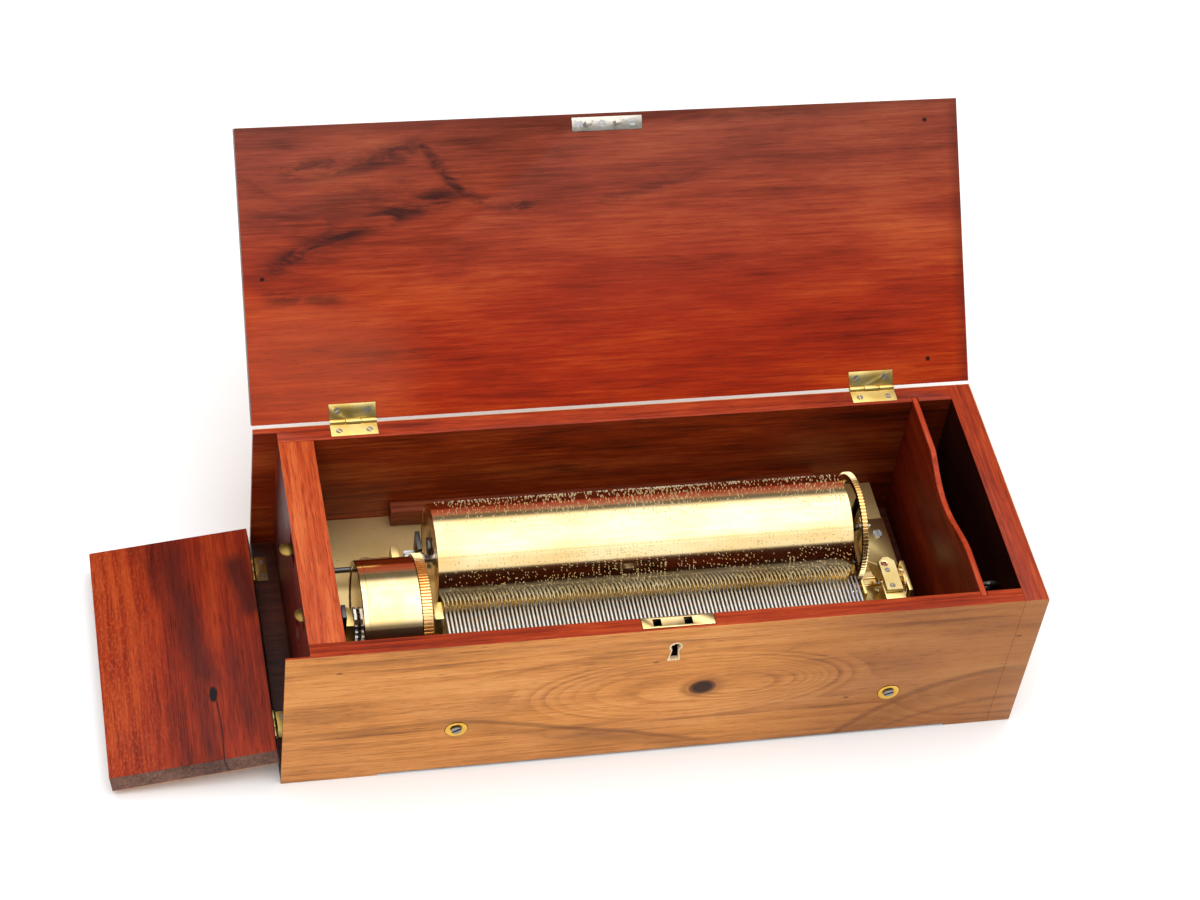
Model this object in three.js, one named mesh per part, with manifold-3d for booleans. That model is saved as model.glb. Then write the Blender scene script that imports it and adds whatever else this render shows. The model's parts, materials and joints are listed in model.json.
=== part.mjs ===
// Key-wound cylinder music box in a plain wooden case, lid and end flap open.
// Millimetres, +Z up. Case frame: X along the length, Y from front to back, Z from the table up.
// The group is shifted at the end so that the origin is the centre of the case's footprint.
import * as THREE from "three";
import { mergeVertices } from "three/addons/utils/BufferGeometryUtils.js";
import Module from "manifold-3d";

const wasm = await Module();
wasm.setup();

// Driving sizes of the case. Insets are measured from the end of the case that they name
const box = { length: 380, depth: 149.5, height: 97.5 };
const board = { front: 8.7, back: 10.2, right: 12.3, base: 12.7, partition: 17.8, divider: 3.4, lid: 9 };
const foot = { relief: 1.4, leftRun: 48, rightRun: 36, sideRun: 28 };
const recess = { depth: 11.9, frontLip: 1.5, backLip: 3.5 };
const keySpace = { width: 18.3 };
const groove = { depth: 2.8 };
const dip = { depth: 8.6, backEnd: 35.5, frontEnd: 27.5 };
const dipShares = { skew: 0.8, sharpness: 1.4 };
const rail = { width: 13, right: 18.4, height: 15 };
const batten = { leftInset: 40.7, rightInset: 33.3, thick: 7.6, height: 11 };
const lidAngle = THREE.MathUtils.degToRad(134);
const flapAngle = THREE.MathUtils.degToRad(98);
const flyAngle = THREE.MathUtils.degToRad(135);

// Clearances
const glue = 0.1;
const play = 0.3;
const running = 0.4;
const overrun = 1;

// Case fittings
const lock = {
  offset: 1.1, width: 36.2, depth: 6.7, plate: 1.2, bodyWidth: 31, bodyHeight: 26, skin: 0.8, bodyInset: 1,
};
const slot = { width: 4.1, depth: 4.4, offsets: [-10.5, 5.1] };
const hook = { wide: 1.6, thick: 2, drop: 6, nose: 1.6 };
const bolt = { finger: 1.6, fingerHeight: 2, bar: 2.6, thick: 2.4 };
const catchPlate = { length: 36.9, width: 7.1, thick: 1.2 };
const keyhole = { offset: 0.5, low: 23.1, high: 11.2, round: 2.5, slotTop: 1.5, slotBottom: 2.3, depth: 2.2 };
const lining = { wall: 0.9 };
const washer = { radius: 5.55, thick: 0.9, proud: 0.3, leftInset: 85.8, rightInset: 71.7 };
const screw = { head: 2.7, headHeight: 1.3, shank: 1.7, length: 24, slotWidth: 0.7, slotDepth: 0.6 };
const lidHinge = {
  leftInset: 39.2, rightInset: 41.9, length: 24,
  leaf: 8.4, thick: 0.9, knuckle: 1.5, pin: 0.7, out: 0.9, gap: 0.3,
};
const flapTopGap = 1.1;
const flapHinge = {
  frontInset: 18.1, backInset: 14, length: 16,
  leaf: 6.6, thick: 0.8, knuckle: 1.3, pin: 0.55, out: 0.5, gap: 0.3,
};

// Driving sizes of the movement. Left and right are distances from the bedplate's own ends,
// and heights are measured up from the bedplate's top face
const bed = { leftGap: 0.5, rightGap: 12.7, thick: 6.5 };
const barrelLine = { y: 47, above: 26.9 };
const cylinderLine = { y: 83.5, above: 29.3 };
const teeth = { greatWheel: 120, pinion: 16, cylinderWheel: 96, firstPinion: 8, ratchet: 16 };
const barrel = { left: 11, length: 28.5, step: 0.775, wall: 2, bore: 3.4 };
const greatWheel = { gap: 0.3, thick: 5 };
const arbor = { square: 4.2, squareOut: 10.7, journal: 3, hub: 5.5 };
const spring = { strip: 0.9, turns: 5, inner: 8.5, gap: 1.1 };
const ratchet = { thick: 1.3, radius: 8.6, depth: 1.5 };
const ratchetShares = { lead: 0.08 };
const click = { pivot: 2.2, pivotY: 14.5, pivotZ: -9, height: 4, lift: 0.3 };
const clickShares = { tipLow: 0.25, tipHigh: 0.125 };
const cylinder = { right: 36.2, radius: 27.7, wall: 1.2, cap: 2.4, bore: 2.4 };
const shaft = { radius: 2, journal: 1.4, out: 3, right: 19.3 };
const collar = { radius: 3.4, length: 3.8, pinionGap: 1.1, cylinderGap: 2.6 };
const pinion = { thick: 5.2 };
const toothShares = { root: 0.56, tip: 0.24, below: 1.15, above: 0.9 };
const fineToothShares = { halfRoot: 0.28, below: 1.1, above: 0.8 };
const wheel = { module: 0.594, gap: 4.7, thick: 2.8, rim: 3.6, hub: 5.4, spokes: 4, spoke: 3.2 };
const drivePin = { radius: 0.9, reach: 21, angle: 3.31, length: 7.6 };
const tuneSnail = { thick: 1.4, offset: 8.4, radius: 5.2, steps: 4, drop: 0.5, bore: 1.1 };
const comb = {
  leftInset: 3.3, rightOut: 4.1, teeth: 104, tip: 56.2, front: 14.5, above: 23.2, thick: 2, gapShare: 0.42,
};
const combRoot = { bass: 31, treble: 38 };
const combBase = { margin: 0.9, front: 12, back: 37 };
const bearing = {
  pinionGap: 2.7, right: 25.7, thick: 3.8, side: 5.4, above: 5.6, foot: 3,
  heelBack: 21.6, lugOut: 11.4, lugBack: 10.8,
};
const stand = { left: 4.2, right: 4.4, gap: 4.4 };

// Governor: two wheels, an upright endless screw with its fly, and the frame that carries them
const fly = { right: 15.8, y: 62.4, reach: 9, above: 20.4, height: 9.4, thick: 0.5, hub: 1.5 };
const flyShares = { slopeOut: 0.68, slopeDown: 0.62, foot: 0.4 };
const worm = { radius: 1.7, shaft: 0.7, above: 3.4, length: 5.2 };
const threadShares = { start: 0.3, width: 0.4, depth: 0.6 };
const firstArbor = { angle: THREE.MathUtils.degToRad(40), radius: 0.8, right: 1.5 };
const secondWheel = { radius: 3.6, teeth: 24, thick: 1.4 };
const secondArbor = { right: 25.3, radius: 0.7 };
const firstWheel = { right: 5.1, thick: 1, teeth: 48 };
const secondPinion = { teeth: 8 };
const governor = {
  left: 27, right: 0.9, cheek: 1.5, plate: 2, cheekRun: 10.2, front: 40, back: 72, base: 1.2, cheekHeight: 13,
};
const pillar = { left: 19.7, right: 9.3, back: 52.2, height: 21.6 };
const cock = { left: 19, right: 9.8, front: 44.5, back: 67, thick: 2 };
const jewel = { radius: 1.3, thick: 0.9 };

// Controls and key
const lever = { thick: 2.2, wide: 8, below: 7.7, tongue: 2, slotPlay: 4.5, boss: 4.2 };
const stopLever = { gap: 1.3, pivotY: 36, above: 7.4, tabY: 33.6, proud: 3.7, rise: 0.9 };
const changeLever = { inset: 3.3, shaftY: 98, above: 7.9, tabY: 75.6, proud: 6.4, rise: 2.2 };
const rockshaft = { radius: 1.5, finger: 2.3, gap: 2.7 };
const tab = { radius: 4.1, thick: 1.3, neck: 3 };
const stud = { radius: 1.5 };
const windingHole = { radius: 8.5 };
const key = {
  bowInset: 20.3, bowHeight: 61.9, tipInset: 53.3,
  ring: 6.3, wire: 1.4, shank: 2, socket: 3.4, socketLength: 16,
};
const keyShares = { socketHole: 0.7, shankHole: 0.75 };

// Finishes
const finish = {
  walnut: { color: 0xb98450, roughness: 0.45, metalness: 0 },
  redwood: { color: 0x8e3318, roughness: 0.38, metalness: 0 },
  orange: { color: 0xc6602a, roughness: 0.42, metalness: 0 },
  darkwood: { color: 0x4a2013, roughness: 0.6, metalness: 0 },
  brass: { color: 0xd8b45a, roughness: 0.22, metalness: 1 },
  satinBrass: { color: 0xbd9f5c, roughness: 0.4, metalness: 1 },
  steel: { color: 0xb8bab8, roughness: 0.28, metalness: 1 },
  darkSteel: { color: 0x3c3a3a, roughness: 0.4, metalness: 1 },
  bone: { color: 0xd9c9a0, roughness: 0.5, metalness: 0 },
};

// Derived places of the case
const baseTop = foot.relief + board.base;
const innerBack = box.depth - board.back;
const innerRight = box.length - board.right;
const partitionRight = recess.depth + board.partition;
const dividerRight = innerRight - keySpace.width;
const dividerLeft = dividerRight - board.divider;
const lockCentre = box.length / 2 + lock.offset;
const keyholeCentre = lockCentre - keyhole.offset;
const keyholeBottom = box.height - keyhole.low;
const keyholeTop = box.height - keyhole.high;
const washerCentres = [washer.leftInset, box.length - washer.rightInset];
const lidHingeLefts = [lidHinge.leftInset, box.length - lidHinge.rightInset - lidHinge.length];
const flapHingeCentres = [
  flapHinge.frontInset + flapHinge.length / 2,
  box.depth - flapHinge.backInset - flapHinge.length / 2,
];
const hinge = { y: box.depth + lidHinge.out, z: box.height + lidHinge.gap / 2 };
const flapPivot = { x: -flapHinge.out, z: baseTop + flapHinge.gap / 2 };

// Derived places of the movement
const bedTop = baseTop + rail.height + bed.thick;
const bedBottom = bedTop - bed.thick;
const bedLeft = partitionRight + bed.leftGap;
const bedRight = dividerLeft - bed.rightGap;
const barrelAxis = { y: barrelLine.y, z: bedTop + barrelLine.above };
const cylinderAxis = { y: cylinderLine.y, z: bedTop + cylinderLine.above };
const centreDistance = Math.hypot(cylinderAxis.y - barrelAxis.y, cylinderAxis.z - barrelAxis.z);
const gearModule = (2 * centreDistance) / (teeth.greatWheel + teeth.pinion);
const barrelRadius = (gearModule * teeth.greatWheel) / 2 - barrel.step;
const barrelLeft = bedLeft + barrel.left;
const barrelRight = barrelLeft + barrel.length;
const greatWheelLeft = barrelRight + greatWheel.gap;
const pinionLeft = greatWheelLeft - glue;
const ratchetLeft = barrelLeft - ratchet.thick - running;
const bracketLeft = { left: ratchetLeft - running - stand.left, right: ratchetLeft - running };
const bracketRightLeft = greatWheelLeft + greatWheel.thick + stand.gap;
const bracketRight = { left: bracketRightLeft, right: bracketRightLeft + stand.right };
const bearingLeftEnd = pinionLeft - bearing.pinionGap;
const bearingLeft = { left: bearingLeftEnd - stand.left, right: bearingLeftEnd };
const bearingRight = { left: bedRight - bearing.right, right: bedRight - bearing.right + bearing.thick };
const squareLeft = partitionRight - arbor.squareOut;
const springOuter = barrelRadius - barrel.wall - spring.strip - spring.gap;
const collarLeft = pinionLeft + pinion.thick + collar.pinionGap;
const cylinderLeft = collarLeft + collar.length + collar.cylinderGap;
const cylinderRight = bedRight - cylinder.right;
const wheelLeft = cylinderRight + wheel.gap;
const shaftLeft = bearingLeft.left - shaft.out;
const shaftRight = bedRight - shaft.right;
const combLeft = cylinderLeft + comb.leftInset;
const combRight = cylinderRight + comb.rightOut;
const combTop = bedTop + comb.above;
const leverTop = box.height - lever.below;
const stopLeverX = partitionRight + stopLever.gap;
const stopLeverZ = bedTop + stopLever.above;
const changeLeverX = partitionRight - changeLever.inset;
const rockshaftZ = bedTop + changeLever.above;
const rockshaftRight = cylinderLeft - rockshaft.gap;
const flyX = bedRight - fly.right;
const flyTop = bedTop + fly.above;
const flyLow = flyTop - fly.height;
const wormBottom = bedTop + worm.above;
const wormTop = wormBottom + worm.length;
const firstWheelLeft = bedRight - firstWheel.right;
const cheekTop = bedTop + governor.cheekHeight;
const pillarTop = bedTop + pillar.height;
const secondArborLeft = bedRight - secondArbor.right;
const governorLeft = bedRight - governor.left;
const governorRight = bedRight - governor.right;
const keyX = dividerRight + keySpace.width / 2;
const bow = { y: board.front + key.bowInset, z: baseTop + key.bowHeight };
const tipY = board.front + key.tipInset;

// Solids
function solid(geometry) {
  geometry.deleteAttribute("normal");
  geometry.deleteAttribute("uv");
  const merged = mergeVertices(geometry);
  return new wasm.Manifold(new wasm.Mesh({
    numProp: 3,
    vertProperties: new Float32Array(merged.attributes.position.array),
    triVerts: new Uint32Array(merged.index.array),
  }));
}

function block(low, high) {
  const [dx, dy, dz] = high.map((value, i) => value - low[i]);
  const geometry = new THREE.BoxGeometry(dx, dy, dz);
  geometry.translate(low[0] + dx / 2, low[1] + dy / 2, low[2] + dz / 2);
  return solid(geometry);
}

const turnTo = {
  x: new THREE.Matrix4().makeRotationZ(-Math.PI / 2),
  y: new THREE.Matrix4(),
  z: new THREE.Matrix4().makeRotationX(Math.PI / 2),
};

// A round bar whose centre line runs from one point along an axis
function rod(axis, from, length, radius, sides = 20) {
  const geometry = new THREE.CylinderGeometry(radius, radius, length, sides);
  geometry.applyMatrix4(turnTo[axis]);
  const middle = { x: [length / 2, 0, 0], y: [0, length / 2, 0], z: [0, 0, length / 2] }[axis];
  geometry.translate(from[0] + middle[0], from[1] + middle[1], from[2] + middle[2]);
  return solid(geometry);
}

const X = new THREE.Vector3(1, 0, 0);
const Y = new THREE.Vector3(0, 1, 0);
const Z = new THREE.Vector3(0, 0, 1);
const facing = {
  x: new THREE.Matrix4().makeBasis(Y, Z, X),
  y: new THREE.Matrix4().makeBasis(X, Z, Y.clone().negate()),
  z: new THREE.Matrix4(),
};

// An outline pushed along an axis: points are (y, z) along x, (x, z) along y and (x, y) along z
function plate(axis, points, start, thickness) {
  const shape = new THREE.Shape(points.map(([a, b]) => new THREE.Vector2(a, b)));
  const geometry = new THREE.ExtrudeGeometry(shape, { depth: thickness, bevelEnabled: false });
  if (axis === "y") geometry.translate(0, 0, -start - thickness);
  else geometry.translate(0, 0, start);
  geometry.applyMatrix4(facing[axis]);
  return solid(geometry);
}

// A turned piece round the X axis: profile points are (x, radius)
function turned(profile, sides) {
  const geometry = new THREE.LatheGeometry(profile.map(([x, r]) => new THREE.Vector2(r, x)), sides);
  geometry.applyMatrix4(turnTo.x);
  return solid(geometry);
}

function union(...pieces) {
  return pieces.flat().reduce((whole, piece) => whole.add(piece));
}

function cut(whole, ...pieces) {
  return pieces.flat().reduce((rest, piece) => rest.subtract(piece), whole);
}

function part(name, body, look) {
  const mesh = body.getMesh();
  const geometry = new THREE.BufferGeometry();
  geometry.setAttribute("position", new THREE.BufferAttribute(new Float32Array(mesh.vertProperties), 3));
  geometry.setIndex(new THREE.BufferAttribute(new Uint32Array(mesh.triVerts), 1));
  const node = new THREE.Mesh(geometry.toNonIndexed(), new THREE.MeshStandardMaterial(look));
  node.geometry.computeVertexNormals();
  node.name = name;
  return node;
}

function group(place, ...children) {
  const holder = new THREE.Group();
  holder.position.set(...place);
  holder.add(...children.flat());
  return holder;
}

// Case boards
const corner = { low: -overrun, highZ: box.height + overrun };

function footRelief(lowY, highY) {
  return block([foot.leftRun, lowY, corner.low], [box.length - foot.rightRun, highY, foot.relief]);
}

function dividerGroove() {
  const left = dividerLeft - glue;
  const right = dividerLeft + board.divider + glue;
  const low = board.front - groove.depth;
  const high = innerBack + groove.depth;
  return block([left, low, baseTop], [right, high, corner.highZ]);
}

function keyholeOutline(grow) {
  const centreZ = keyholeTop - keyhole.round;
  const points = [
    [keyholeCentre - keyhole.slotBottom - grow, keyholeBottom - grow],
    [keyholeCentre + keyhole.slotBottom + grow, keyholeBottom - grow],
  ];
  const neck = Math.asin(keyhole.slotTop / keyhole.round);
  const steps = 10;
  for (let i = 0; i <= steps; i += 1) {
    const angle = -Math.PI / 2 + neck + (i / steps) * (2 * Math.PI - 2 * neck);
    points.push([
      keyholeCentre + (keyhole.round + grow) * Math.cos(angle),
      centreZ + (keyhole.round + grow) * Math.sin(angle),
    ]);
  }
  return points;
}

const lockY = { low: board.front - lock.depth, centre: board.front - lock.depth / 2, high: board.front };
const lockTop = box.height;
const lockPlateBottom = lockTop - lock.plate;
const lockBottom = lockPlateBottom - lock.bodyHeight;
const lockBody = {
  low: lockY.low + lock.bodyInset,
  left: lockCentre - lock.bodyWidth / 2,
  right: lockCentre + lock.bodyWidth / 2,
};

function lockMortise() {
  const half = lock.width / 2 + play;
  return union(
    block(
      [lockCentre - half, lockY.low - play, lockPlateBottom - play],
      [lockCentre + half, board.front + overrun, corner.highZ],
    ),
    block(
      [lockBody.left - play, lockBody.low - play, lockBottom - play],
      [lockBody.right + play, board.front + overrun, lockTop],
    ),
  );
}

function frontScrewHoles() {
  const centreZ = bedTop - bed.thick / 2;
  const washerSeat = washer.thick - washer.proud + glue;
  return washerCentres.flatMap((x) => [
    rod("y", [x, corner.low, centreZ], board.front + 2 * overrun, screw.shank + play),
    rod("y", [x, corner.low, centreZ], washerSeat - corner.low, washer.radius + play, 24),
  ]);
}

function frontWall() {
  const whole = block([0, 0, 0], [innerRight - glue, board.front, box.height]);
  const rebate = block(
    [corner.low, recess.frontLip, corner.low],
    [recess.depth, board.front + overrun, corner.highZ],
  );
  const keyway = plate("y", keyholeOutline(lining.wall + glue), corner.low, board.front + 2 * overrun);
  return cut(
    whole,
    rebate,
    footRelief(corner.low, board.front + overrun),
    lockMortise(),
    keyway,
    frontScrewHoles(),
    dividerGroove(),
  );
}

function hingePocket(left) {
  return union(
    block(
      [left - glue, box.depth - lidHinge.leaf - glue, box.height - lidHinge.thick - glue],
      [left + lidHinge.length + glue, box.depth + overrun, corner.highZ],
    ),
    rod("x", [left - glue, hinge.y, hinge.z], lidHinge.length + 2 * glue, lidHinge.knuckle + play, 24),
  );
}

function backWall() {
  const whole = block([0, innerBack, 0], [innerRight - glue, box.depth, box.height]);
  const rebate = block(
    [corner.low, innerBack - overrun, corner.low],
    [recess.depth, box.depth - recess.backLip, corner.highZ],
  );
  return cut(
    whole,
    rebate,
    footRelief(innerBack - overrun, box.depth + overrun),
    lidHingeLefts.map(hingePocket),
    dividerGroove(),
  );
}

function rightWall() {
  const whole = block([innerRight, 0, 0], [box.length, box.depth, box.height]);
  const relief = block(
    [innerRight - overrun, foot.sideRun, corner.low],
    [box.length + overrun, box.depth - foot.sideRun, foot.relief],
  );
  return cut(whole, relief);
}

function flapHingePocket(centre) {
  const half = flapHinge.length / 2 + glue;
  return union(
    block(
      [corner.low, centre - half, baseTop - flapHinge.thick - glue],
      [flapHinge.leaf + glue, centre + half, baseTop + overrun],
    ),
    rod("y", [flapPivot.x, centre - half, flapPivot.z], 2 * half, flapHinge.knuckle + play, 20),
  );
}

function baseBoard() {
  const front = { wide: recess.frontLip + glue, narrow: board.front + glue };
  const back = { wide: box.depth - recess.backLip - glue, narrow: innerBack - glue };
  const ear = recess.depth - glue;
  const right = innerRight - glue;
  const outline = [
    [0, front.wide], [ear, front.wide], [ear, front.narrow], [right, front.narrow],
    [right, back.narrow], [ear, back.narrow], [ear, back.wide], [0, back.wide],
  ];
  return cut(plate("z", outline, foot.relief, board.base - glue), flapHingeCentres.map(flapHingePocket));
}

const tongueTop = leverTop - tab.thick - glue;

// The change lever's slanting arm, as an outline in (y, z)
function changeArm(grow) {
  const half = lever.wide / 2 + grow;
  const low = rockshaftZ - lever.boss - grow;
  const lean = (changeLever.shaftY - changeLever.tabY) / (leverTop - rockshaftZ);
  const endY = changeLever.tabY - lean * grow;
  return [
    [changeLever.shaftY - half, low],
    [changeLever.shaftY + half, low],
    [changeLever.shaftY + half, rockshaftZ],
    [endY + half, leverTop + grow],
    [endY - half, leverTop + grow],
    [changeLever.shaftY - half, rockshaftZ],
  ];
}

function tongueSlot(control) {
  const half = lever.wide / 2 + lever.slotPlay;
  return block(
    [recess.depth - overrun, control.tabY - half, tongueTop - lever.tongue - control.rise],
    [partitionRight + overrun, control.tabY + half, leverTop + control.rise],
  );
}

function partition() {
  const whole = block(
    [recess.depth, board.front + glue, baseTop],
    [partitionRight, innerBack - glue, box.height],
  );
  const grooveStart = changeLeverX - play;
  const grooveDepth = partitionRight + overrun - grooveStart;
  const changeGroove = plate("x", changeArm(lever.slotPlay), grooveStart, grooveDepth);
  const holeStart = [recess.depth - overrun, barrelAxis.y, barrelAxis.z];
  const hole = rod("x", holeStart, board.partition + 2 * overrun, windingHole.radius, 24);
  return cut(whole, tongueSlot(stopLever), tongueSlot(changeLever), changeGroove, hole);
}

function divider() {
  const low = board.front - groove.depth + glue;
  const high = innerBack + groove.depth - glue;
  const dipFront = board.front + dip.frontEnd;
  const dipBack = innerBack - dip.backEnd;
  const steps = 14;
  const points = [[low, baseTop], [high, baseTop], [high, box.height]];
  for (let i = 0; i <= steps; i += 1) {
    const share = i / steps;
    const skewed = Math.pow(share, dipShares.skew);
    const sag = Math.pow(Math.sin(Math.PI * skewed), dipShares.sharpness);
    points.push([dipBack + (dipFront - dipBack) * share, box.height - dip.depth * sag]);
  }
  points.push([low, box.height]);
  return plate("x", points, dividerLeft, board.divider);
}

const railTop = bedBottom - glue;

function railFront() {
  const left = partitionRight + glue;
  return block([left, board.front + glue, baseTop], [bedRight, board.front + rail.width, railTop]);
}

function railBack() {
  const left = partitionRight + glue;
  return block([left, innerBack - rail.width, baseTop], [bedRight, innerBack - glue, railTop]);
}

function railRight() {
  const left = bedRight - rail.right + rail.width / 2;
  return block(
    [left, board.front + rail.width + glue, baseTop],
    [left + rail.right, innerBack - rail.width - glue, railTop],
  );
}

function rearBatten() {
  return block(
    [bedLeft + batten.leftInset, innerBack - batten.thick, bedTop + glue],
    [bedRight - batten.rightInset, innerBack - glue, bedTop + batten.height],
  );
}

// Lock, its bolt and the catch on the lid
const slotLeft = (offset) => lockCentre + offset - slot.width / 2;
const hookLeft = (offset) => slotLeft(offset) + play;
const lidInside = box.height + lidHinge.gap;
const hookBottom = lidInside - hook.drop;
const fingerTop = lockPlateBottom - play;
const boltBarTop = hookBottom - play - (lidInside - box.height);

function lockCase() {
  const shell = union(
    block(
      [lockCentre - lock.width / 2, lockY.low, lockPlateBottom],
      [lockCentre + lock.width / 2, lockY.high, lockTop],
    ),
    block([lockBody.left, lockBody.low, lockBottom], [lockBody.right, board.front, lockPlateBottom]),
  );
  const hollow = block(
    [lockBody.left + lock.skin, lockBody.low + lock.skin, lockBottom - overrun],
    [lockBody.right - lock.skin, board.front - lock.skin, lockPlateBottom],
  );
  const slots = slot.offsets.map((offset) => block(
    [slotLeft(offset), lockY.centre - slot.depth / 2, lockPlateBottom - play],
    [slotLeft(offset) + slot.width, lockY.centre + slot.depth / 2, corner.highZ],
  ));
  const keyway = plate("y", keyholeOutline(0), lockBody.low - overrun, board.front);
  return cut(shell, hollow, slots, keyway);
}

function lockBolt() {
  const centre = lockY.centre + lock.skin / 2;
  const y = { low: centre - bolt.thick / 2, high: centre + bolt.thick / 2 };
  const fingers = slot.offsets.map((offset) => {
    const nose = hookLeft(offset) + hook.wide + hook.nose + 2 * play;
    const stub = nose + bolt.finger;
    return union(
      block([nose, y.low, fingerTop - bolt.fingerHeight], [stub + bolt.finger, y.high, fingerTop]),
      block([stub, y.low, boltBarTop - bolt.bar], [stub + bolt.finger, y.high, fingerTop]),
    );
  });
  const left = hookLeft(slot.offsets[0]);
  const right = hookLeft(slot.offsets[1]) + hook.wide + hook.nose + 2 * play + 2 * bolt.finger;
  return union(fingers, block([left, y.low, boltBarTop - bolt.bar], [right, y.high, boltBarTop]));
}

function keyholeLining() {
  const outer = plate("y", keyholeOutline(lining.wall), 0, keyhole.depth);
  return cut(outer, plate("y", keyholeOutline(0), corner.low, keyhole.depth + 2 * overrun));
}

function washerAt(x) {
  const z = bedTop - bed.thick / 2;
  const disc = rod("y", [x, -washer.proud, z], washer.thick, washer.radius, 24);
  return cut(disc, rod("y", [x, -overrun, z], washer.thick + 2 * overrun, screw.shank + play, 16));
}

function bedScrew(x) {
  const z = bedTop - bed.thick / 2;
  const seat = -washer.proud - glue;
  const whole = union(
    rod("y", [x, seat - screw.headHeight, z], screw.headHeight, screw.head, 24),
    rod("y", [x, seat - glue, z], screw.length + glue, screw.shank, 12),
  );
  const kerf = block(
    [x - screw.head - overrun, seat - screw.headHeight - overrun, z - screw.slotWidth / 2],
    [x + screw.head + overrun, seat - screw.headHeight + screw.slotDepth, z + screw.slotWidth / 2],
  );
  return cut(whole, kerf);
}

// A butt hinge's leaf in its own frame: hinge line along X through 0, leaf towards -Y, top face at z = level
function leaf(sizes, level, knuckles, holeRadius) {
  const flat = block([0, -sizes.leaf - sizes.out, level - sizes.thick], [sizes.length, 0, level]);
  const relief = (from, to) => rod("x", [from, 0, 0], to - from, sizes.knuckle + play, 12);
  const rolls = knuckles.map(([from, to]) => rod("x", [from, 0, 0], to - from, sizes.knuckle, 12));
  const cleared = cut(flat, relief(-overrun, sizes.length + overrun));
  const linkLow = [-sizes.knuckle - sizes.out, level - sizes.thick];
  const links = knuckles.map(([from, to]) => block([from, ...linkLow], [to, 0, level]));
  const bore = rod("x", [-overrun, 0, 0], sizes.length + 2 * overrun, holeRadius, 8);
  return holeRadius > 0 ? cut(union(cleared, links, rolls), bore) : union(cleared, links, rolls);
}

function thirds(sizes) {
  const third = sizes.length / 3;
  const half = play / 2;
  return {
    ends: [[0, third - half], [2 * third + half, sizes.length]],
    middle: [[third + half, 2 * third - half]],
  };
}

function hingePin(sizes) {
  return rod("x", [play, 0, 0], sizes.length - 2 * play, sizes.pin, 8);
}

function caseLeaf(sizes) {
  return union(leaf(sizes, -sizes.gap / 2, thirds(sizes).ends, 0), hingePin(sizes));
}

function movingLeaf(sizes) {
  return leaf(sizes, sizes.gap / 2 + sizes.thick, thirds(sizes).middle, sizes.pin + play);
}

// Lid, modelled closed round the hinge line: its inside face lies just above the rim
const lidLevel = lidHinge.gap / 2;

function lidPanel() {
  const front = -hinge.y;
  const whole = block([0, front, lidLevel], [box.length, front + box.depth, lidLevel + board.lid]);
  const pockets = lidHingeLefts.map((left) => union(
    block(
      [left - glue, -lidHinge.leaf - lidHinge.out - glue, lidLevel - overrun],
      [left + lidHinge.length + glue, overrun, lidLevel + lidHinge.thick + glue],
    ),
    rod("x", [left - glue, 0, 0], lidHinge.length + 2 * glue, lidHinge.knuckle + play, 24),
  ));
  const y = catchY();
  const seat = block(
    [lockCentre - catchPlate.length / 2 - glue, y.low - glue, lidLevel - overrun],
    [lockCentre + catchPlate.length / 2 + glue, y.high + glue, lidLevel + catchPlate.thick + glue],
  );
  return cut(whole, pockets, seat);
}

function catchY() {
  const centre = lockY.centre - hinge.y;
  return { centre, low: centre - catchPlate.width / 2, high: centre + catchPlate.width / 2 };
}

function catchWithHooks() {
  const y = catchY();
  const flat = block(
    [lockCentre - catchPlate.length / 2, y.low, lidLevel],
    [lockCentre + catchPlate.length / 2, y.high, lidLevel + catchPlate.thick],
  );
  const low = lidLevel - hook.drop;
  const hooks = slot.offsets.map((offset) => {
    const left = hookLeft(offset);
    const side = [y.centre - hook.thick / 2, y.centre + hook.thick / 2];
    return union(
      block([left, side[0], low], [left + hook.wide, side[1], lidLevel + catchPlate.thick / 2]),
      block([left, side[0], low], [left + hook.wide + hook.nose, side[1], low + hook.wide]),
    );
  });
  return union(flat, hooks);
}

function lid() {
  const hung = group([0, hinge.y, hinge.z],
    part("lid_panel", lidPanel(), finish.redwood),
    part("lid_catch_plate", catchWithHooks(), finish.steel),
    lidHingeLefts.map((left, i) => group(
      [left, 0, 0],
      part(`lid_hinge_${side(i)}_lid_leaf`, movingLeaf(lidHinge), finish.brass),
    )),
  );
  hung.rotation.x = -lidAngle;
  return hung;
}

function side(index) {
  return ["left", "right"][index];
}

function end(index) {
  return ["front", "rear"][index];
}

// End flap, modelled closed round its hinge line, then laid out
function flapPanel() {
  const gap = flapHinge.gap / 2;
  const inset = 2 * glue + flapHinge.out;
  const thick = recess.depth - play - 2 * glue;
  const height = box.height - flapPivot.z - gap - flapTopGap;
  const low = recess.frontLip + play;
  const high = box.depth - recess.backLip - play;
  const whole = block([inset, low, gap], [inset + thick, high, gap + height]);
  const pockets = flapHingeCentres.map((centre) => {
    const half = flapHinge.length / 2 + glue;
    return union(
      block(
        [-overrun, centre - half, -overrun],
        [flapHinge.leaf + flapHinge.out + glue, centre + half, gap + flapHinge.thick + glue],
      ),
      rod("y", [0, centre - half, 0], 2 * half, flapHinge.knuckle + play, 20),
    );
  });
  return cut(whole, pockets);
}

// A flap hinge is a small butt hinge turned so that its leaves run towards +X
function turnedHinge(node, centre) {
  const holder = group([0, centre - flapHinge.length / 2, 0], node);
  node.rotation.z = Math.PI / 2;
  return holder;
}

function flap() {
  const hung = group([flapPivot.x, 0, flapPivot.z], part("end_flap", flapPanel(), finish.redwood));
  flapHingeCentres.forEach((centre, i) => {
    const moving = part(`flap_hinge_${end(i)}_flap_leaf`, movingLeaf(flapHinge), finish.brass);
    hung.add(turnedHinge(moving, centre));
  });
  hung.rotation.y = -flapAngle;
  return hung;
}

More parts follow.
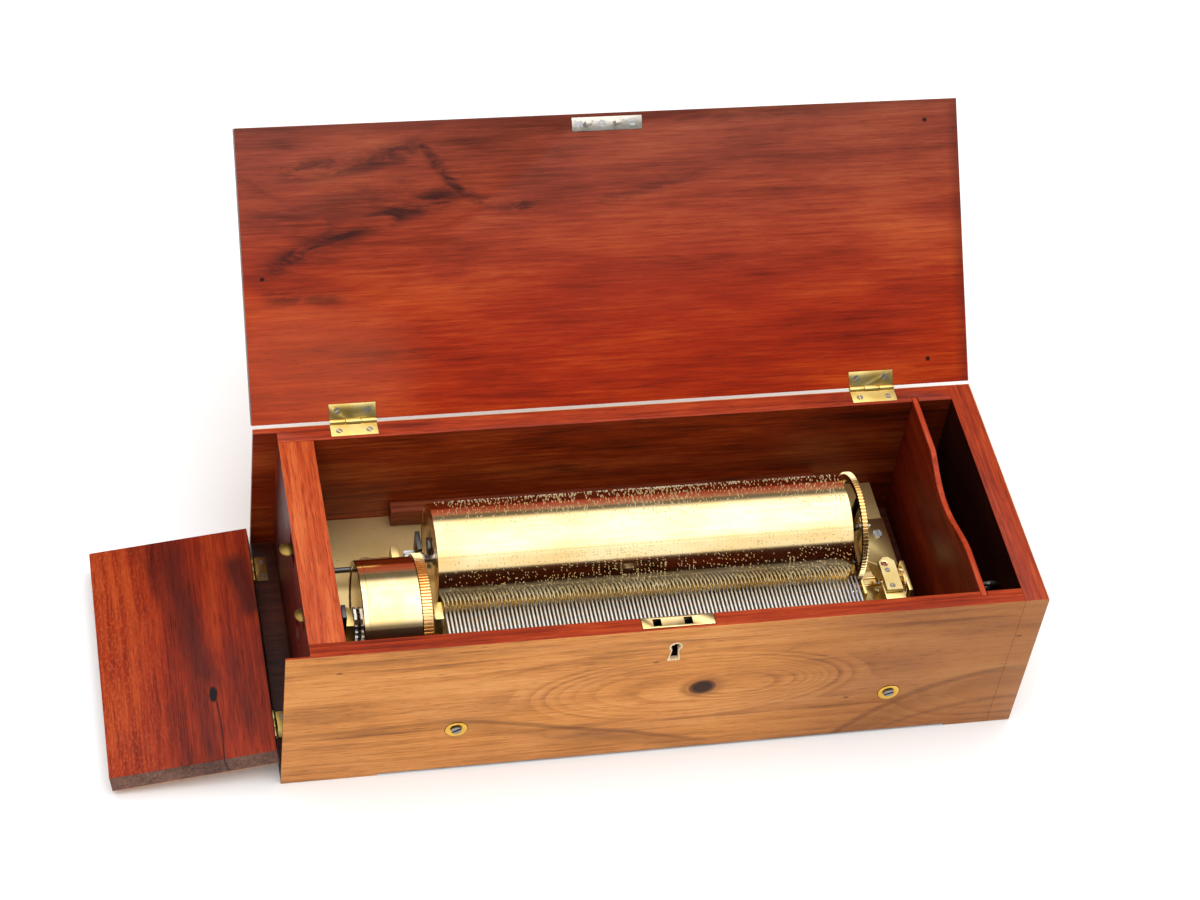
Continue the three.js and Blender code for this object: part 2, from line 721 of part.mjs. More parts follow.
function flapCaseLeaves() {
  return group([flapPivot.x, 0, flapPivot.z], flapHingeCentres.map((centre, i) => (
    turnedHinge(part(`flap_hinge_${end(i)}_case_leaf`, caseLeaf(flapHinge), finish.brass), centre)
  )));
}

function lidCaseLeaves() {
  return lidHingeLefts.map((left, i) => group(
    [left, hinge.y, hinge.z],
    part(`lid_hinge_${side(i)}_case_leaf`, caseLeaf(lidHinge), finish.brass),
  ));
}

function woodenCase() {
  return [
    part("front_wall", frontWall(), finish.walnut),
    part("back_wall", backWall(), finish.redwood),
    part("right_wall", rightWall(), finish.redwood),
    part("base_board", baseBoard(), finish.darkwood),
    part("left_partition", partition(), finish.orange),
    part("key_divider", divider(), finish.redwood),
    part("rail_front", railFront(), finish.darkwood),
    part("rail_back", railBack(), finish.darkwood),
    part("rail_right", railRight(), finish.darkwood),
    part("rear_batten", rearBatten(), finish.redwood),
    part("lock_case", lockCase(), finish.brass),
    part("lock_bolt", lockBolt(), finish.steel),
    part("keyhole_lining", keyholeLining(), finish.bone),
    washerCentres.map((x, i) => part(`case_washer_${side(i)}`, washerAt(x), finish.brass)),
    washerCentres.map((x, i) => part(`bedplate_screw_${side(i)}`, bedScrew(x), finish.steel)),
    lidCaseLeaves(),
    flapCaseLeaves(),
  ].flat();
}

// Gear wheels: straight-sided teeth on a disc in the YZ plane, centre at the origin of the group
function toothedPlate(count, tooth, left, thickness, phase) {
  const pitch = (2 * Math.PI) / count;
  const points = [];
  for (let i = 0; i < count; i += 1) {
    tooth.forEach(([share, radius]) => {
      const angle = phase + (i + share) * pitch;
      points.push([radius * Math.cos(angle), radius * Math.sin(angle)]);
    });
  }
  return plate("x", points, left, thickness);
}

function gear(count, module, left, thickness, phase) {
  const pitchRadius = (module * count) / 2;
  const root = pitchRadius - toothShares.below * module;
  const tip = pitchRadius + toothShares.above * module;
  const tooth = [
    [-toothShares.root / 2, root], [-toothShares.tip / 2, tip],
    [toothShares.tip / 2, tip], [toothShares.root / 2, root],
  ];
  return toothedPlate(count, tooth, left, thickness, phase);
}

// Pointed teeth, for the fine wheels
function fineGear(count, module, left, thickness, phase) {
  const pitchRadius = (module * count) / 2;
  const root = pitchRadius - fineToothShares.below * module;
  const tip = pitchRadius + fineToothShares.above * module;
  const tooth = [[-fineToothShares.halfRoot, root], [0, tip], [fineToothShares.halfRoot, root]];
  return toothedPlate(count, tooth, left, thickness, phase);
}

// The direction from one axis to the next, and the phase that puts a gap where the mate has a tooth
const meshAngle = Math.atan2(cylinderAxis.z - barrelAxis.z, cylinderAxis.y - barrelAxis.y);
const halfTooth = (count) => Math.PI / count;

// Spring barrel
function barrelDrum() {
  const profile = [
    [barrelLeft, barrel.bore], [barrelLeft, barrelRadius], [barrelRight, barrelRadius],
    [barrelRight, barrelRadius - barrel.wall], [barrelLeft + barrel.wall, barrelRadius - barrel.wall],
    [barrelLeft + barrel.wall, barrel.bore], [barrelLeft, barrel.bore],
  ];
  return turned(profile, 60);
}

function greatWheelDisc() {
  const disc = gear(teeth.greatWheel, gearModule, greatWheelLeft, greatWheel.thick, meshAngle);
  const bore = rod("x", [greatWheelLeft - overrun, 0, 0], greatWheel.thick + 2 * overrun, barrel.bore, 24);
  return cut(disc, bore);
}

function mainspring() {
  const left = barrelLeft + barrel.wall + running;
  const width = barrelRight - running - left;
  const stepsPerTurn = 14;
  const steps = spring.turns * stepsPerTurn;
  const inner = [];
  const outer = [];
  for (let i = 0; i <= steps; i += 1) {
    const radius = spring.inner + ((springOuter - spring.inner) * i) / steps;
    const angle = (2 * Math.PI * i) / stepsPerTurn;
    inner.push([radius * Math.cos(angle), radius * Math.sin(angle)]);
    outer.push([(radius + spring.strip) * Math.cos(angle), (radius + spring.strip) * Math.sin(angle)]);
  }
  return plate("x", inner.concat(outer.reverse()), left, width);
}

function barrelArbor() {
  const half = arbor.square / 2;
  const journalLeft = bracketLeft.left - glue;
  const hubLeft = barrelLeft + barrel.wall + running;
  return union(
    block([squareLeft, -half, -half], [bracketLeft.left, half, half]),
    rod("x", [journalLeft, 0, 0], bracketRight.right + play - journalLeft, arbor.journal, 20),
    rod("x", [hubLeft, 0, 0], barrelRight - running - hubLeft, arbor.hub, 24),
  );
}

function ratchetWheel() {
  const tooth = [[0, ratchet.radius - ratchet.depth], [ratchetShares.lead, ratchet.radius]];
  const disc = toothedPlate(teeth.ratchet, tooth, ratchetLeft, ratchet.thick, 0);
  const boreLength = ratchet.thick + 2 * overrun;
  return cut(disc, rod("x", [ratchetLeft - overrun, 0, 0], boreLength, arbor.journal + glue, 20));
}

// The click reaches from its stud to the ratchet's rim and ends just clear of the teeth
function clickLever() {
  const toWheel = Math.atan2(-click.pivotZ, -click.pivotY);
  const distance = Math.hypot(click.pivotY, click.pivotZ) - ratchet.radius - click.lift;
  const half = click.height / 2;
  const tip = { low: click.height * clickShares.tipLow, high: click.height * clickShares.tipHigh };
  const along = (reach, off) => [
    reach * Math.cos(toWheel) - off * Math.sin(toWheel),
    reach * Math.sin(toWheel) + off * Math.cos(toWheel),
  ];
  const outline = [along(0, -half), along(distance, -tip.low), along(distance, tip.high), along(0, half)];
  const arm = plate("x", outline, 0, ratchet.thick);
  return cut(
    union(arm, rod("x", [0, 0, 0], ratchet.thick, click.pivot, 16)),
    rod("x", [-overrun, 0, 0], ratchet.thick + 2 * overrun, stud.radius / 2 + play, 12),
  );
}

// An upright bearing plate on its foot; low and high are the plate's sides in y
function bracket(xRange, axis, low, high, footBox, journal) {
  const top = axis.z + bearing.above;
  const upright = block([xRange.left, low, bedTop + glue], [xRange.right, high, top]);
  const base = block(
    [footBox.left, footBox.low, bedTop + glue],
    [footBox.right, footBox.high, bedTop + bearing.foot],
  );
  const holeLength = xRange.right - xRange.left + 2 * overrun;
  const hole = rod("x", [xRange.left - overrun, axis.y, axis.z], holeLength, journal + play, 20);
  return cut(union(upright, base), hole);
}

function barrelBracketLeft() {
  const low = stopLever.pivotY - lever.wide / 2;
  const high = barrelAxis.y + click.pivotY + click.pivot;
  const footBox = { left: bracketLeft.left, low, right: bracketLeft.right + play, high };
  const sides = [barrelAxis.y - bearing.side, barrelAxis.y + bearing.side];
  const base = bracket(bracketLeft, barrelAxis, ...sides, footBox, arbor.journal);
  const shoulder = block(
    [bracketLeft.left, low, bedTop + glue],
    [bracketLeft.right, high, barrelAxis.z + click.pivotZ + click.pivot],
  );
  const studLeft = bracketLeft.right - glue;
  const clickPivot = [barrelAxis.y + click.pivotY, barrelAxis.z + click.pivotZ];
  const clickStudLength = ratchetLeft + ratchet.thick - studLeft;
  const clickStud = rod("x", [studLeft, ...clickPivot], clickStudLength, stud.radius / 2, 12);
  const leverPivot = [stopLever.pivotY, stopLeverZ];
  const leverStudLength = bracketLeft.left - stopLeverX + glue;
  const leverStud = rod("x", [stopLeverX, ...leverPivot], leverStudLength, stud.radius, 12);
  const holeLeft = bracketLeft.left - overrun;
  const holeLength = bracketLeft.right + glue / 2 - holeLeft;
  const hole = rod("x", [holeLeft, barrelAxis.y, barrelAxis.z], holeLength, arbor.journal + play, 20);
  return union(cut(union(base, shoulder), hole), clickStud, leverStud);
}

function barrelBracketRight() {
  const low = barrelAxis.y - bearing.side;
  const high = barrelAxis.y + bearing.side;
  const footBox = { left: bracketRight.left, low: low - bearing.side, right: bracketRight.right, high };
  return bracket(bracketRight, barrelAxis, low, high, footBox, arbor.journal);
}

function cylinderBearingLeft() {
  const low = barrelAxis.y + barrelRadius + 2 * play;
  const high = cylinderAxis.y + bearing.above;
  const lugLeft = bearingLeft.left - bearing.lugOut;
  const footHigh = changeLever.shaftY + bearing.lugBack;
  const footBox = { left: lugLeft, low, right: bearingLeft.right, high: footHigh };
  const lug = block(
    [lugLeft, changeLever.shaftY - bearing.side, bedTop + glue],
    [lugLeft + bearing.thick, changeLever.shaftY + bearing.side, rockshaftZ + bearing.side / 2],
  );
  const holeStart = [lugLeft - overrun, changeLever.shaftY, rockshaftZ];
  const lugHole = rod("x", holeStart, bearing.thick + 2 * overrun, rockshaft.radius + play, 12);
  return cut(union(bracket(bearingLeft, cylinderAxis, low, high, footBox, shaft.journal), lug), lugHole);
}

function cylinderBearingRight() {
  const low = cylinderAxis.y - bearing.above;
  const high = cylinderAxis.y + bearing.above;
  const footBox = { left: bearingRight.left, low, right: bedRight - play, high: high + bearing.heelBack };
  return bracket(bearingRight, cylinderAxis, low, high, footBox, shaft.journal);
}

// Cylinder group, round its own axis
function cylinderShell() {
  const inner = cylinder.radius - cylinder.wall;
  return turned([
    [cylinderLeft, inner], [cylinderLeft, cylinder.radius], [cylinderRight, cylinder.radius],
    [cylinderRight, inner], [cylinderLeft, inner],
  ], 72);
}

function cylinderCap(left, holes) {
  const disc = rod("x", [left, 0, 0], cylinder.cap, cylinder.radius - cylinder.wall - glue, 48);
  const bore = rod("x", [left - overrun, 0, 0], cylinder.cap + 2 * overrun, cylinder.bore, 20);
  return cut(disc, bore, holes);
}

const pinPlace = [drivePin.reach * Math.cos(drivePin.angle), drivePin.reach * Math.sin(drivePin.angle)];

function capLeft() {
  const studLeft = cylinderLeft + glue - tuneSnail.thick - 2 * play;
  const studLength = cylinderLeft + 2 * glue - studLeft;
  const pivotStud = rod("x", [studLeft, 0, tuneSnail.offset], studLength, tuneSnail.bore - play, 10);
  return union(cylinderCap(cylinderLeft + glue, []), pivotStud);
}

function capRight() {
  const left = cylinderRight - cylinder.cap - glue;
  const holeLength = cylinder.cap + 2 * overrun;
  const hole = rod("x", [left - overrun, ...pinPlace], holeLength, drivePin.radius + play, 12);
  return cylinderCap(left, [hole]);
}

function cylinderArbor() {
  const bodyLeft = bearingLeft.right + running;
  return union(
    rod("x", [shaftLeft, 0, 0], shaftRight - shaftLeft, shaft.journal, 16),
    rod("x", [bodyLeft, 0, 0], bearingRight.left - running - bodyLeft, shaft.radius, 20),
    rod("x", [collarLeft, 0, 0], collar.length, collar.radius, 24),
  );
}

function cylinderPinion() {
  const phase = meshAngle + Math.PI + halfTooth(teeth.pinion);
  const body = gear(teeth.pinion, gearModule, pinionLeft, pinion.thick, phase);
  const bore = rod("x", [pinionLeft - overrun, 0, 0], pinion.thick + 2 * overrun, shaft.radius + glue, 20);
  return cut(body, bore);
}

const wheelRadius = (wheel.module * teeth.cylinderWheel) / 2;
const firstDistance = (wheel.module * (teeth.cylinderWheel + teeth.firstPinion)) / 2;
const firstAxis = {
  y: cylinderAxis.y - firstDistance * Math.cos(firstArbor.angle),
  z: cylinderAxis.z - firstDistance * Math.sin(firstArbor.angle),
};
const toFirst = Math.PI + firstArbor.angle;

function cylinderWheel() {
  const whole = fineGear(teeth.cylinderWheel, wheel.module, wheelLeft, wheel.thick, toFirst);
  const length = wheel.thick + 2 * overrun;
  const window = cut(
    rod("x", [wheelLeft - overrun, 0, 0], length, wheelRadius - wheel.rim, 32),
    rod("x", [wheelLeft - 2 * overrun, 0, 0], length + 2 * overrun, wheel.hub, 24),
  );
  const spokes = Array.from({ length: wheel.spokes / 2 }, (unused, i) => {
    const low = [wheelLeft - 2 * overrun, -wheelRadius, -wheel.spoke];
    const bar = block(low, [wheelLeft + length, wheelRadius, wheel.spoke]);
    return bar.rotate([((i * 360) / wheel.spokes) + THREE.MathUtils.radToDeg(drivePin.angle), 0, 0]);
  });
  const bore = rod("x", [wheelLeft - overrun, 0, 0], length, shaft.radius + glue, 20);
  const pinSeat = rod("x", [wheelLeft - overrun, ...pinPlace], length, drivePin.radius + glue, 12);
  return cut(whole, cut(window, spokes), bore, pinSeat);
}

function driveRod() {
  const left = wheelLeft + wheel.thick - drivePin.length;
  return rod("x", [left, ...pinPlace], drivePin.length, drivePin.radius, 10);
}

function snail() {
  const points = [];
  const perStep = 4;
  const count = tuneSnail.steps * perStep;
  for (let i = 0; i < count; i += 1) {
    const radius = tuneSnail.radius - tuneSnail.drop * Math.floor(i / perStep);
    const angle = (2 * Math.PI * i) / count;
    points.push([radius * Math.cos(angle), tuneSnail.offset + radius * Math.sin(angle)]);
  }
  const left = cylinderLeft - tuneSnail.thick - play;
  const boreLength = tuneSnail.thick + 2 * overrun;
  const bore = rod("x", [left - overrun, 0, tuneSnail.offset], boreLength, tuneSnail.bore, 12);
  return cut(plate("x", points, left, tuneSnail.thick), bore);
}

// Comb: a steel plate whose back edge is cut into teeth that point at the cylinder
function combPlate() {
  const pitch = (combRight - combLeft) / comb.teeth;
  const width = pitch * (1 - comb.gapShare);
  const points = [[combRight, comb.front], [combRight, combRoot.treble]];
  for (let i = comb.teeth - 1; i >= 0; i -= 1) {
    const left = combLeft + (i + comb.gapShare / 2) * pitch;
    const share = (i + 0.5) / comb.teeth;
    const root = combRoot.bass + (combRoot.treble - combRoot.bass) * share;
    points.push([left + width, root], [left + width, comb.tip], [left, comb.tip], [left, root]);
  }
  points.push([combLeft, combRoot.bass], [combLeft, comb.front]);
  return plate("z", points, combTop - comb.thick, comb.thick);
}

function combBlock() {
  return block(
    [combLeft - combBase.margin, combBase.front, bedTop + glue],
    [combRight + 2 * combBase.margin, combBase.back, combTop - comb.thick - glue],
  );
}

function bedplate() {
  const whole = block([bedLeft, board.front + play, bedBottom], [bedRight, innerBack - play, bedTop]);
  const radius = Math.max((gearModule * teeth.greatWheel) / 2 + gearModule, barrelRadius + running);
  const half = Math.sqrt(radius ** 2 - (barrelAxis.z - bedTop) ** 2) + overrun;
  const well = block(
    [barrelLeft - running, barrelAxis.y - half, bedBottom - overrun],
    [greatWheelLeft + greatWheel.thick + running * 2, barrelAxis.y + half, bedTop + overrun],
  );
  const troughStart = [wheelLeft - running, cylinderAxis.y, cylinderAxis.z];
  const trough = rod("x", troughStart, wheel.thick + 2 * running, wheelRadius + wheel.module + running, 48);
  const holeZ = bedTop - bed.thick / 2;
  const holeDepth = screw.length + overrun;
  const holes = washerCentres.map((x) => rod("y", [x, 0, holeZ], holeDepth, screw.shank + play, 12));
  return cut(whole, well, trough, holes);
}

// Governor
const secondModule = secondWheel.radius * 2 / secondWheel.teeth;
const secondAxis = { y: fly.y + worm.radius + secondWheel.radius, z: (wormBottom + wormTop) / 2 };
const trainDistance = Math.hypot(secondAxis.y - firstAxis.y, secondAxis.z - firstAxis.z);
const trainModule = (2 * trainDistance) / (firstWheel.teeth + secondPinion.teeth);
const toSecond = Math.atan2(secondAxis.z - firstAxis.z, secondAxis.y - firstAxis.y);

function governorFrame() {
  const floor = bedTop + glue;
  const base = block(
    [governorLeft, governor.front, floor],
    [governorRight, governor.back, floor + governor.base],
  );
  const cheekLow = fly.y - governor.cheekRun;
  const cheek = block(
    [governorLeft, cheekLow, floor],
    [governorLeft + governor.cheek, governor.back, cheekTop],
  );
  const far = block(
    [governorRight - governor.plate, cheekLow, floor],
    [governorRight, governor.back, cheekTop],
  );
  const post = block(
    [bedRight - pillar.left, governor.front, floor],
    [bedRight - pillar.right, pillar.back, pillarTop],
  );
  const length = governorRight - governorLeft + 2 * overrun;
  const bores = [
    rod("x", [governorLeft - overrun, firstAxis.y, firstAxis.z], length, firstArbor.radius + play, 12),
    rod("x", [governorLeft - overrun, secondAxis.y, secondAxis.z], length, secondArbor.radius + play, 12),
    rod("z", [flyX, fly.y, floor - overrun], governor.base + 2 * overrun, worm.shaft + play, 12),
  ];
  const slotStart = [firstWheelLeft - running, firstAxis.y, firstAxis.z];
  const slotRadius = (trainModule * firstWheel.teeth) / 2 + 2 * running;
  const wheelSlot = rod("x", slotStart, firstWheel.thick + 2 * running, slotRadius, 32);
  return cut(union(base, cheek, far, post), bores, wheelSlot);
}

function governorFirst() {
  const phase = toFirst - Math.PI + halfTooth(teeth.firstPinion);
  return union(
    gear(teeth.firstPinion, wheel.module, wheelLeft - glue, wheel.thick + 2 * glue, phase),
    rod("x", [wheelLeft - glue, 0, 0], (bedRight - firstArbor.right) - wheelLeft, firstArbor.radius, 10),
    fineGear(firstWheel.teeth, trainModule, firstWheelLeft, firstWheel.thick, toSecond),
  );
}

function governorSecond() {
  const left = flyX - secondWheel.thick / 2;
  const phase = Math.PI + halfTooth(secondWheel.teeth);
  const pinionPhase = toSecond + Math.PI + halfTooth(secondPinion.teeth);
  return union(
    fineGear(secondWheel.teeth, secondModule, left, secondWheel.thick, phase),
    rod("x", [secondArborLeft, 0, 0], governorRight - play - secondArborLeft, secondArbor.radius, 10),
    gear(secondPinion.teeth, trainModule, firstWheelLeft, firstWheel.thick, pinionPhase),
  );
}

// The endless screw's thread is drawn as rings, one for each turn that the worm wheel's teeth meet
function endlessScrew() {
  const pitch = secondModule * Math.PI;
  const rings = Math.floor((wormTop - wormBottom) / pitch);
  const middle = (wormTop + wormBottom) / 2;
  const start = middle - (rings * pitch) / 2;
  const crest = worm.radius - secondModule * threadShares.depth;
  const thread = Array.from({ length: rings }, (unused, i) => (
    rod("z", [0, 0, start + (i + threadShares.start) * pitch], pitch * threadShares.width, crest, 10)
  ));
  const bottom = bedTop + glue + play;
  return union(rod("z", [0, 0, bottom], pillarTop - bottom - glue, worm.shaft, 12), thread);
}

function flyWings() {
  const wing = [
    [0, flyTop], [fly.reach, flyTop - fly.thick],
    [fly.reach * flyShares.slopeOut, flyTop - fly.reach * flyShares.slopeDown],
    [fly.reach * flyShares.foot, flyLow], [0, flyLow],
  ];
  const one = plate("y", wing, -fly.thick / 2, fly.thick);
  const other = one.rotate([0, 0, 180]);
  const hub = rod("z", [0, 0, flyLow], flyTop - flyLow, fly.hub, 12);
  const bore = rod("z", [0, 0, flyLow - overrun], flyTop - flyLow + 2 * overrun, worm.shaft + glue, 12);
  return cut(union(one, other, hub), bore);
}

function governorCock() {
  const low = pillarTop + glue;
  const whole = block(
    [bedRight - cock.left, cock.front, low],
    [bedRight - cock.right, cock.back, low + cock.thick],
  );
  const stoneSeat = low + cock.thick - jewel.thick - glue;
  return cut(whole,
    rod("z", [flyX, fly.y, stoneSeat], jewel.thick + overrun, jewel.radius + glue, 20),
    rod("z", [flyX, fly.y, low - overrun], cock.thick + 2 * overrun, worm.shaft, 12),
  );
}

function governorGroup() {
  const wings = group([flyX, fly.y, 0],
    part("endless_screw", endlessScrew(), finish.steel),
    part("fly", flyWings(), finish.brass),
  );
  wings.rotation.z = flyAngle;
  return [
    part("governor_frame", governorFrame(), finish.brass),
    part("governor_cock", governorCock(), finish.brass),
    group([0, firstAxis.y, firstAxis.z], part("governor_first_wheel", governorFirst(), finish.brass)),
    group([0, secondAxis.y, secondAxis.z], part("governor_second_wheel", governorSecond(), finish.brass)),
    wings,
  ];
}

// Control levers and their thumb tabs
function tongue(control, inner) {
  const half = tab.neck / 2;
  const start = (recess.depth - control.proud) + tab.radius - half;
  return block(
    [start, control.tabY - half, tongueTop - lever.tongue],
    [inner, control.tabY + half, tongueTop],
  );
}

function thumbTab(control) {
  const centreX = recess.depth - control.proud + tab.radius;
  return rod("z", [centreX, control.tabY, leverTop - tab.thick], tab.thick, tab.radius, 24);
}

function stopLeverBar() {
  const half = lever.wide / 2;
  const low = stopLeverZ - lever.boss;
  const outline = [
    [stopLever.pivotY - half, low], [stopLever.pivotY + half, low],
    [stopLever.pivotY + half, stopLeverZ], [stopLever.tabY + half, leverTop],
    [stopLever.tabY - half, leverTop], [stopLever.pivotY - half, stopLeverZ],
  ];
  const bar = plate("x", outline, stopLeverX, lever.thick);
  const holeStart = [stopLeverX - overrun, stopLever.pivotY, stopLeverZ];
  const hole = rod("x", holeStart, lever.thick + 2 * overrun, stud.radius + play, 16);
  return cut(union(bar, tongue(stopLever, stopLeverX + glue)), hole);
}

function changeLeverBar() {
  const arm = plate("x", changeArm(0), changeLeverX, lever.thick);
  const shaftStart = [changeLeverX, changeLever.shaftY, rockshaftZ];
  const shaftBar = rod("x", shaftStart, rockshaftRight - changeLeverX, rockshaft.radius, 12);
  const left = rockshaftRight - rockshaft.finger;
  const top = cylinderAxis.z + rockshaft.finger / 2;
  const half = rockshaft.radius + glue;
  const back = changeLever.shaftY + 2 * half;
  const tipFront = cylinderAxis.y + collar.radius + rockshaft.finger;
  const riser = block([left, changeLever.shaftY - half, rockshaftZ - half], [rockshaftRight, back, top]);
  const reach = block([left, tipFront, top - rockshaft.finger], [rockshaftRight, back, top]);
  return union(arm, shaftBar, riser, reach, tongue(changeLever, changeLeverX + glue));
}

function controls() {
  return [
    part("stop_lever", stopLeverBar(), finish.darkSteel),
    part("stop_lever_tab", thumbTab(stopLever), finish.satinBrass),
    part("change_lever", changeLeverBar(), finish.darkSteel),
    part("change_lever_tab", thumbTab(changeLever), finish.satinBrass),
  ];
}

// Winding key, modelled upright round its bow's centre, then leant back in its compartment
function windingKey() {
  const lean = Math.atan2(tipY - bow.y, bow.z - baseTop);
  const length = (bow.z - baseTop) / Math.cos(lean) - key.socket * Math.tan(lean) - play;
  const ring = new THREE.TorusGeometry(key.ring, key.wire, 6, 22);
  ring.applyMatrix4(new THREE.Matrix4().makeRotationX(Math.PI / 2));
  const shankLow = -length + key.socketLength * keyShares.shankHole;
  const shank = rod("z", [0, 0, shankLow], key.wire / 2 - key.ring - shankLow, key.shank, 16);
  const half = arbor.square / 2 + play;
  const socket = cut(
    rod("z", [0, 0, -length], key.socketLength, key.socket, 24),
    block([-half, -half, -length - overrun], [half, half, -length + key.socketLength * keyShares.socketHole]),
  );
  const node = part("winding_key", union(solid(ring), shank, socket), finish.darkSteel);
  const holder = group([keyX, bow.y, bow.z], node);
  holder.rotation.x = lean;
  return holder;
}

function movement() {
  return [
    part("bedplate", bedplate(), finish.satinBrass),
    part("comb_base", combBlock(), finish.brass),
    part("comb", combPlate(), finish.steel),
    part("barrel_bracket_left", barrelBracketLeft(), finish.brass),
    part("barrel_bracket_right", barrelBracketRight(), finish.brass),
    part("cylinder_bearing_left", cylinderBearingLeft(), finish.brass),
    part("cylinder_bearing_right", cylinderBearingRight(), finish.brass),
    group([0, barrelAxis.y, barrelAxis.z],
      part("barrel_drum", barrelDrum(), finish.brass),
      part("great_wheel", greatWheelDisc(), finish.brass),
      part("mainspring", mainspring(), finish.darkSteel),
      part("barrel_arbor", barrelArbor(), finish.steel),
      part("ratchet_wheel", ratchetWheel(), finish.steel),
    ),
    group(
      [ratchetLeft, barrelAxis.y + click.pivotY, barrelAxis.z + click.pivotZ],
      part("click", clickLever(), finish.steel),
    ),
    group([0, cylinderAxis.y, cylinderAxis.z],
      part("cylinder_shell", cylinderShell(), finish.brass),
      part("cylinder_cap_left", capLeft(), finish.brass),
      part("cylinder_cap_right", capRight(), finish.brass),
      part("cylinder_arbor", cylinderArbor(), finish.steel),
      part("cylinder_pinion", cylinderPinion(), finish.steel),
      part("cylinder_wheel", cylinderWheel(), finish.brass),
      part("drive_pin", driveRod(), finish.steel),
      part("tune_snail", snail(), finish.steel),
    ),
    governorGroup(),
    controls(),
  ].flat();
}

const musicBox = new THREE.Group();
const footCentre = [-box.length / 2, -box.depth / 2, 0];
musicBox.add(group(footCentre, woodenCase(), lid(), flap(), movement(), windingKey()));

export default musicBox;
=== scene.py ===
"""Looks of a key-wound cylinder music box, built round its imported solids.

Lengths are millimetres in the case frame: X from the case's left end, Y from its front, Z from the
table. A finished piece is turned into metres of the shared frame when it is settled.
"""

import json
import math
import random

import bmesh
import bpy
from mathutils import Matrix, Vector

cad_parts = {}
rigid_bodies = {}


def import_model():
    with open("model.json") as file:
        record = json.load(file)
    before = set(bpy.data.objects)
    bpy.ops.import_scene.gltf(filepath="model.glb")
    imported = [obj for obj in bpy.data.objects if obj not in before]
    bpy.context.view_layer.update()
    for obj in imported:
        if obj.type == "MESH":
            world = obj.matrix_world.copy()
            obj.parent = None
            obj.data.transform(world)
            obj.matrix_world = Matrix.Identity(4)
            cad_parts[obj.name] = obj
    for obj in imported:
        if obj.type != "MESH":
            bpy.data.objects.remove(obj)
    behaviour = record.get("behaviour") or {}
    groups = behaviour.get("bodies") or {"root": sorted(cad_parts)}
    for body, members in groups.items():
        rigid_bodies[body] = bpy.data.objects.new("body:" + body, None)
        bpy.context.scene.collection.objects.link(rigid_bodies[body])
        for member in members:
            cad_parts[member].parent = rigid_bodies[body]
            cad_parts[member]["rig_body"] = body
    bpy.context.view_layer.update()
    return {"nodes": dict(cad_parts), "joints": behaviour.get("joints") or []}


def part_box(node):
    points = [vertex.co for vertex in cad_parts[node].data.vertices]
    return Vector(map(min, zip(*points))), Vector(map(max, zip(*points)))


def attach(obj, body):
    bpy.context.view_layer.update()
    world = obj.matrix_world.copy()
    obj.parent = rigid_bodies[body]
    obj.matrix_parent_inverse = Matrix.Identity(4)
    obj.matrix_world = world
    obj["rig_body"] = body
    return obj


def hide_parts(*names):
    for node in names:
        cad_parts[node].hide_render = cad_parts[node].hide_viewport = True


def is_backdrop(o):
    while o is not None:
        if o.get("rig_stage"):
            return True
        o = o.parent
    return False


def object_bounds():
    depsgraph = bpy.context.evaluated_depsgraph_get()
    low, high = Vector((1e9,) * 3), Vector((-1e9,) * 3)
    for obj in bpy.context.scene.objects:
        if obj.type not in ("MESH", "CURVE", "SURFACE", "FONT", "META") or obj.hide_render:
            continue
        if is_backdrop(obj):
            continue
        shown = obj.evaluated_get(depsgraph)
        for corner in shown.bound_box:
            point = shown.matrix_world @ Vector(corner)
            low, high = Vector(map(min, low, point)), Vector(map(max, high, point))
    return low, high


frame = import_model()
scene = bpy.context.scene

MM = 0.001
CORNER = Vector((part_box("front_wall")[0].x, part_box("front_wall")[0].y, 0))
TO_FRAME = Matrix.Translation(CORNER) @ Matrix.Scale(MM, 4)
JOINTS = {row["name"]: row for row in frame["joints"]}
FULL_TURN = 2 * math.pi


def span(node):
    """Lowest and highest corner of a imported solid, in millimetres of the case frame."""
    low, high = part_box(node)
    return (low - CORNER) / MM, (high - CORNER) / MM


def joint_line(name):
    """A point on a joint's axis, in millimetres of the case frame."""
    return (Vector(JOINTS[name]["pos_m"]) - CORNER) / MM


CASE = Vector((span("right_wall")[1].x, span("right_wall")[1].y, span("front_wall")[1].z))
LID_OPEN = math.radians(JOINTS["lid_hinge"]["range_deg"][1])
FLAP_OPEN = math.radians(98)
LID_LINE = joint_line("lid_hinge")
FLAP_LINE = joint_line("flap_hinge")
LID = Matrix.Translation((0, LID_LINE.y, LID_LINE.z)) @ Matrix.Rotation(-LID_OPEN, 4, "X")
FLAP = Matrix.Translation((FLAP_LINE.x, 0, FLAP_LINE.z)) @ Matrix.Rotation(-FLAP_OPEN, 4, "Y")
BARREL_AXIS = joint_line("barrel_turn")
CYLINDER_AXIS = joint_line("cylinder_turn")
FLY_AXIS = joint_line("fly_turn")


# Forms

AXES = {
    "x": (Vector((1, 0, 0)), Vector((0, 1, 0)), Vector((0, 0, 1))),
    "y": (Vector((0, 1, 0)), Vector((0, 0, 1)), Vector((1, 0, 0))),
    "z": (Vector((0, 0, 1)), Vector((1, 0, 0)), Vector((0, 1, 0))),
}


def inset(outline, distance):
    """The outline moved inwards, corner by corner; it runs anticlockwise."""
    moved = []
    count = len(outline)
    for i, point in enumerate(outline):
        here = Vector(point)
        before = (here - Vector(outline[i - 1])).normalized()
        after = (Vector(outline[(i + 1) % count]) - here).normalized()
        inward = Vector((-before.y - after.y, before.x + after.x))
        length = max(inward.length, 0.2)
        share = distance * 2 / max(length * length, 0.8)
        moved.append((here.x + inward.x * share, here.y + inward.y * share))
    return moved


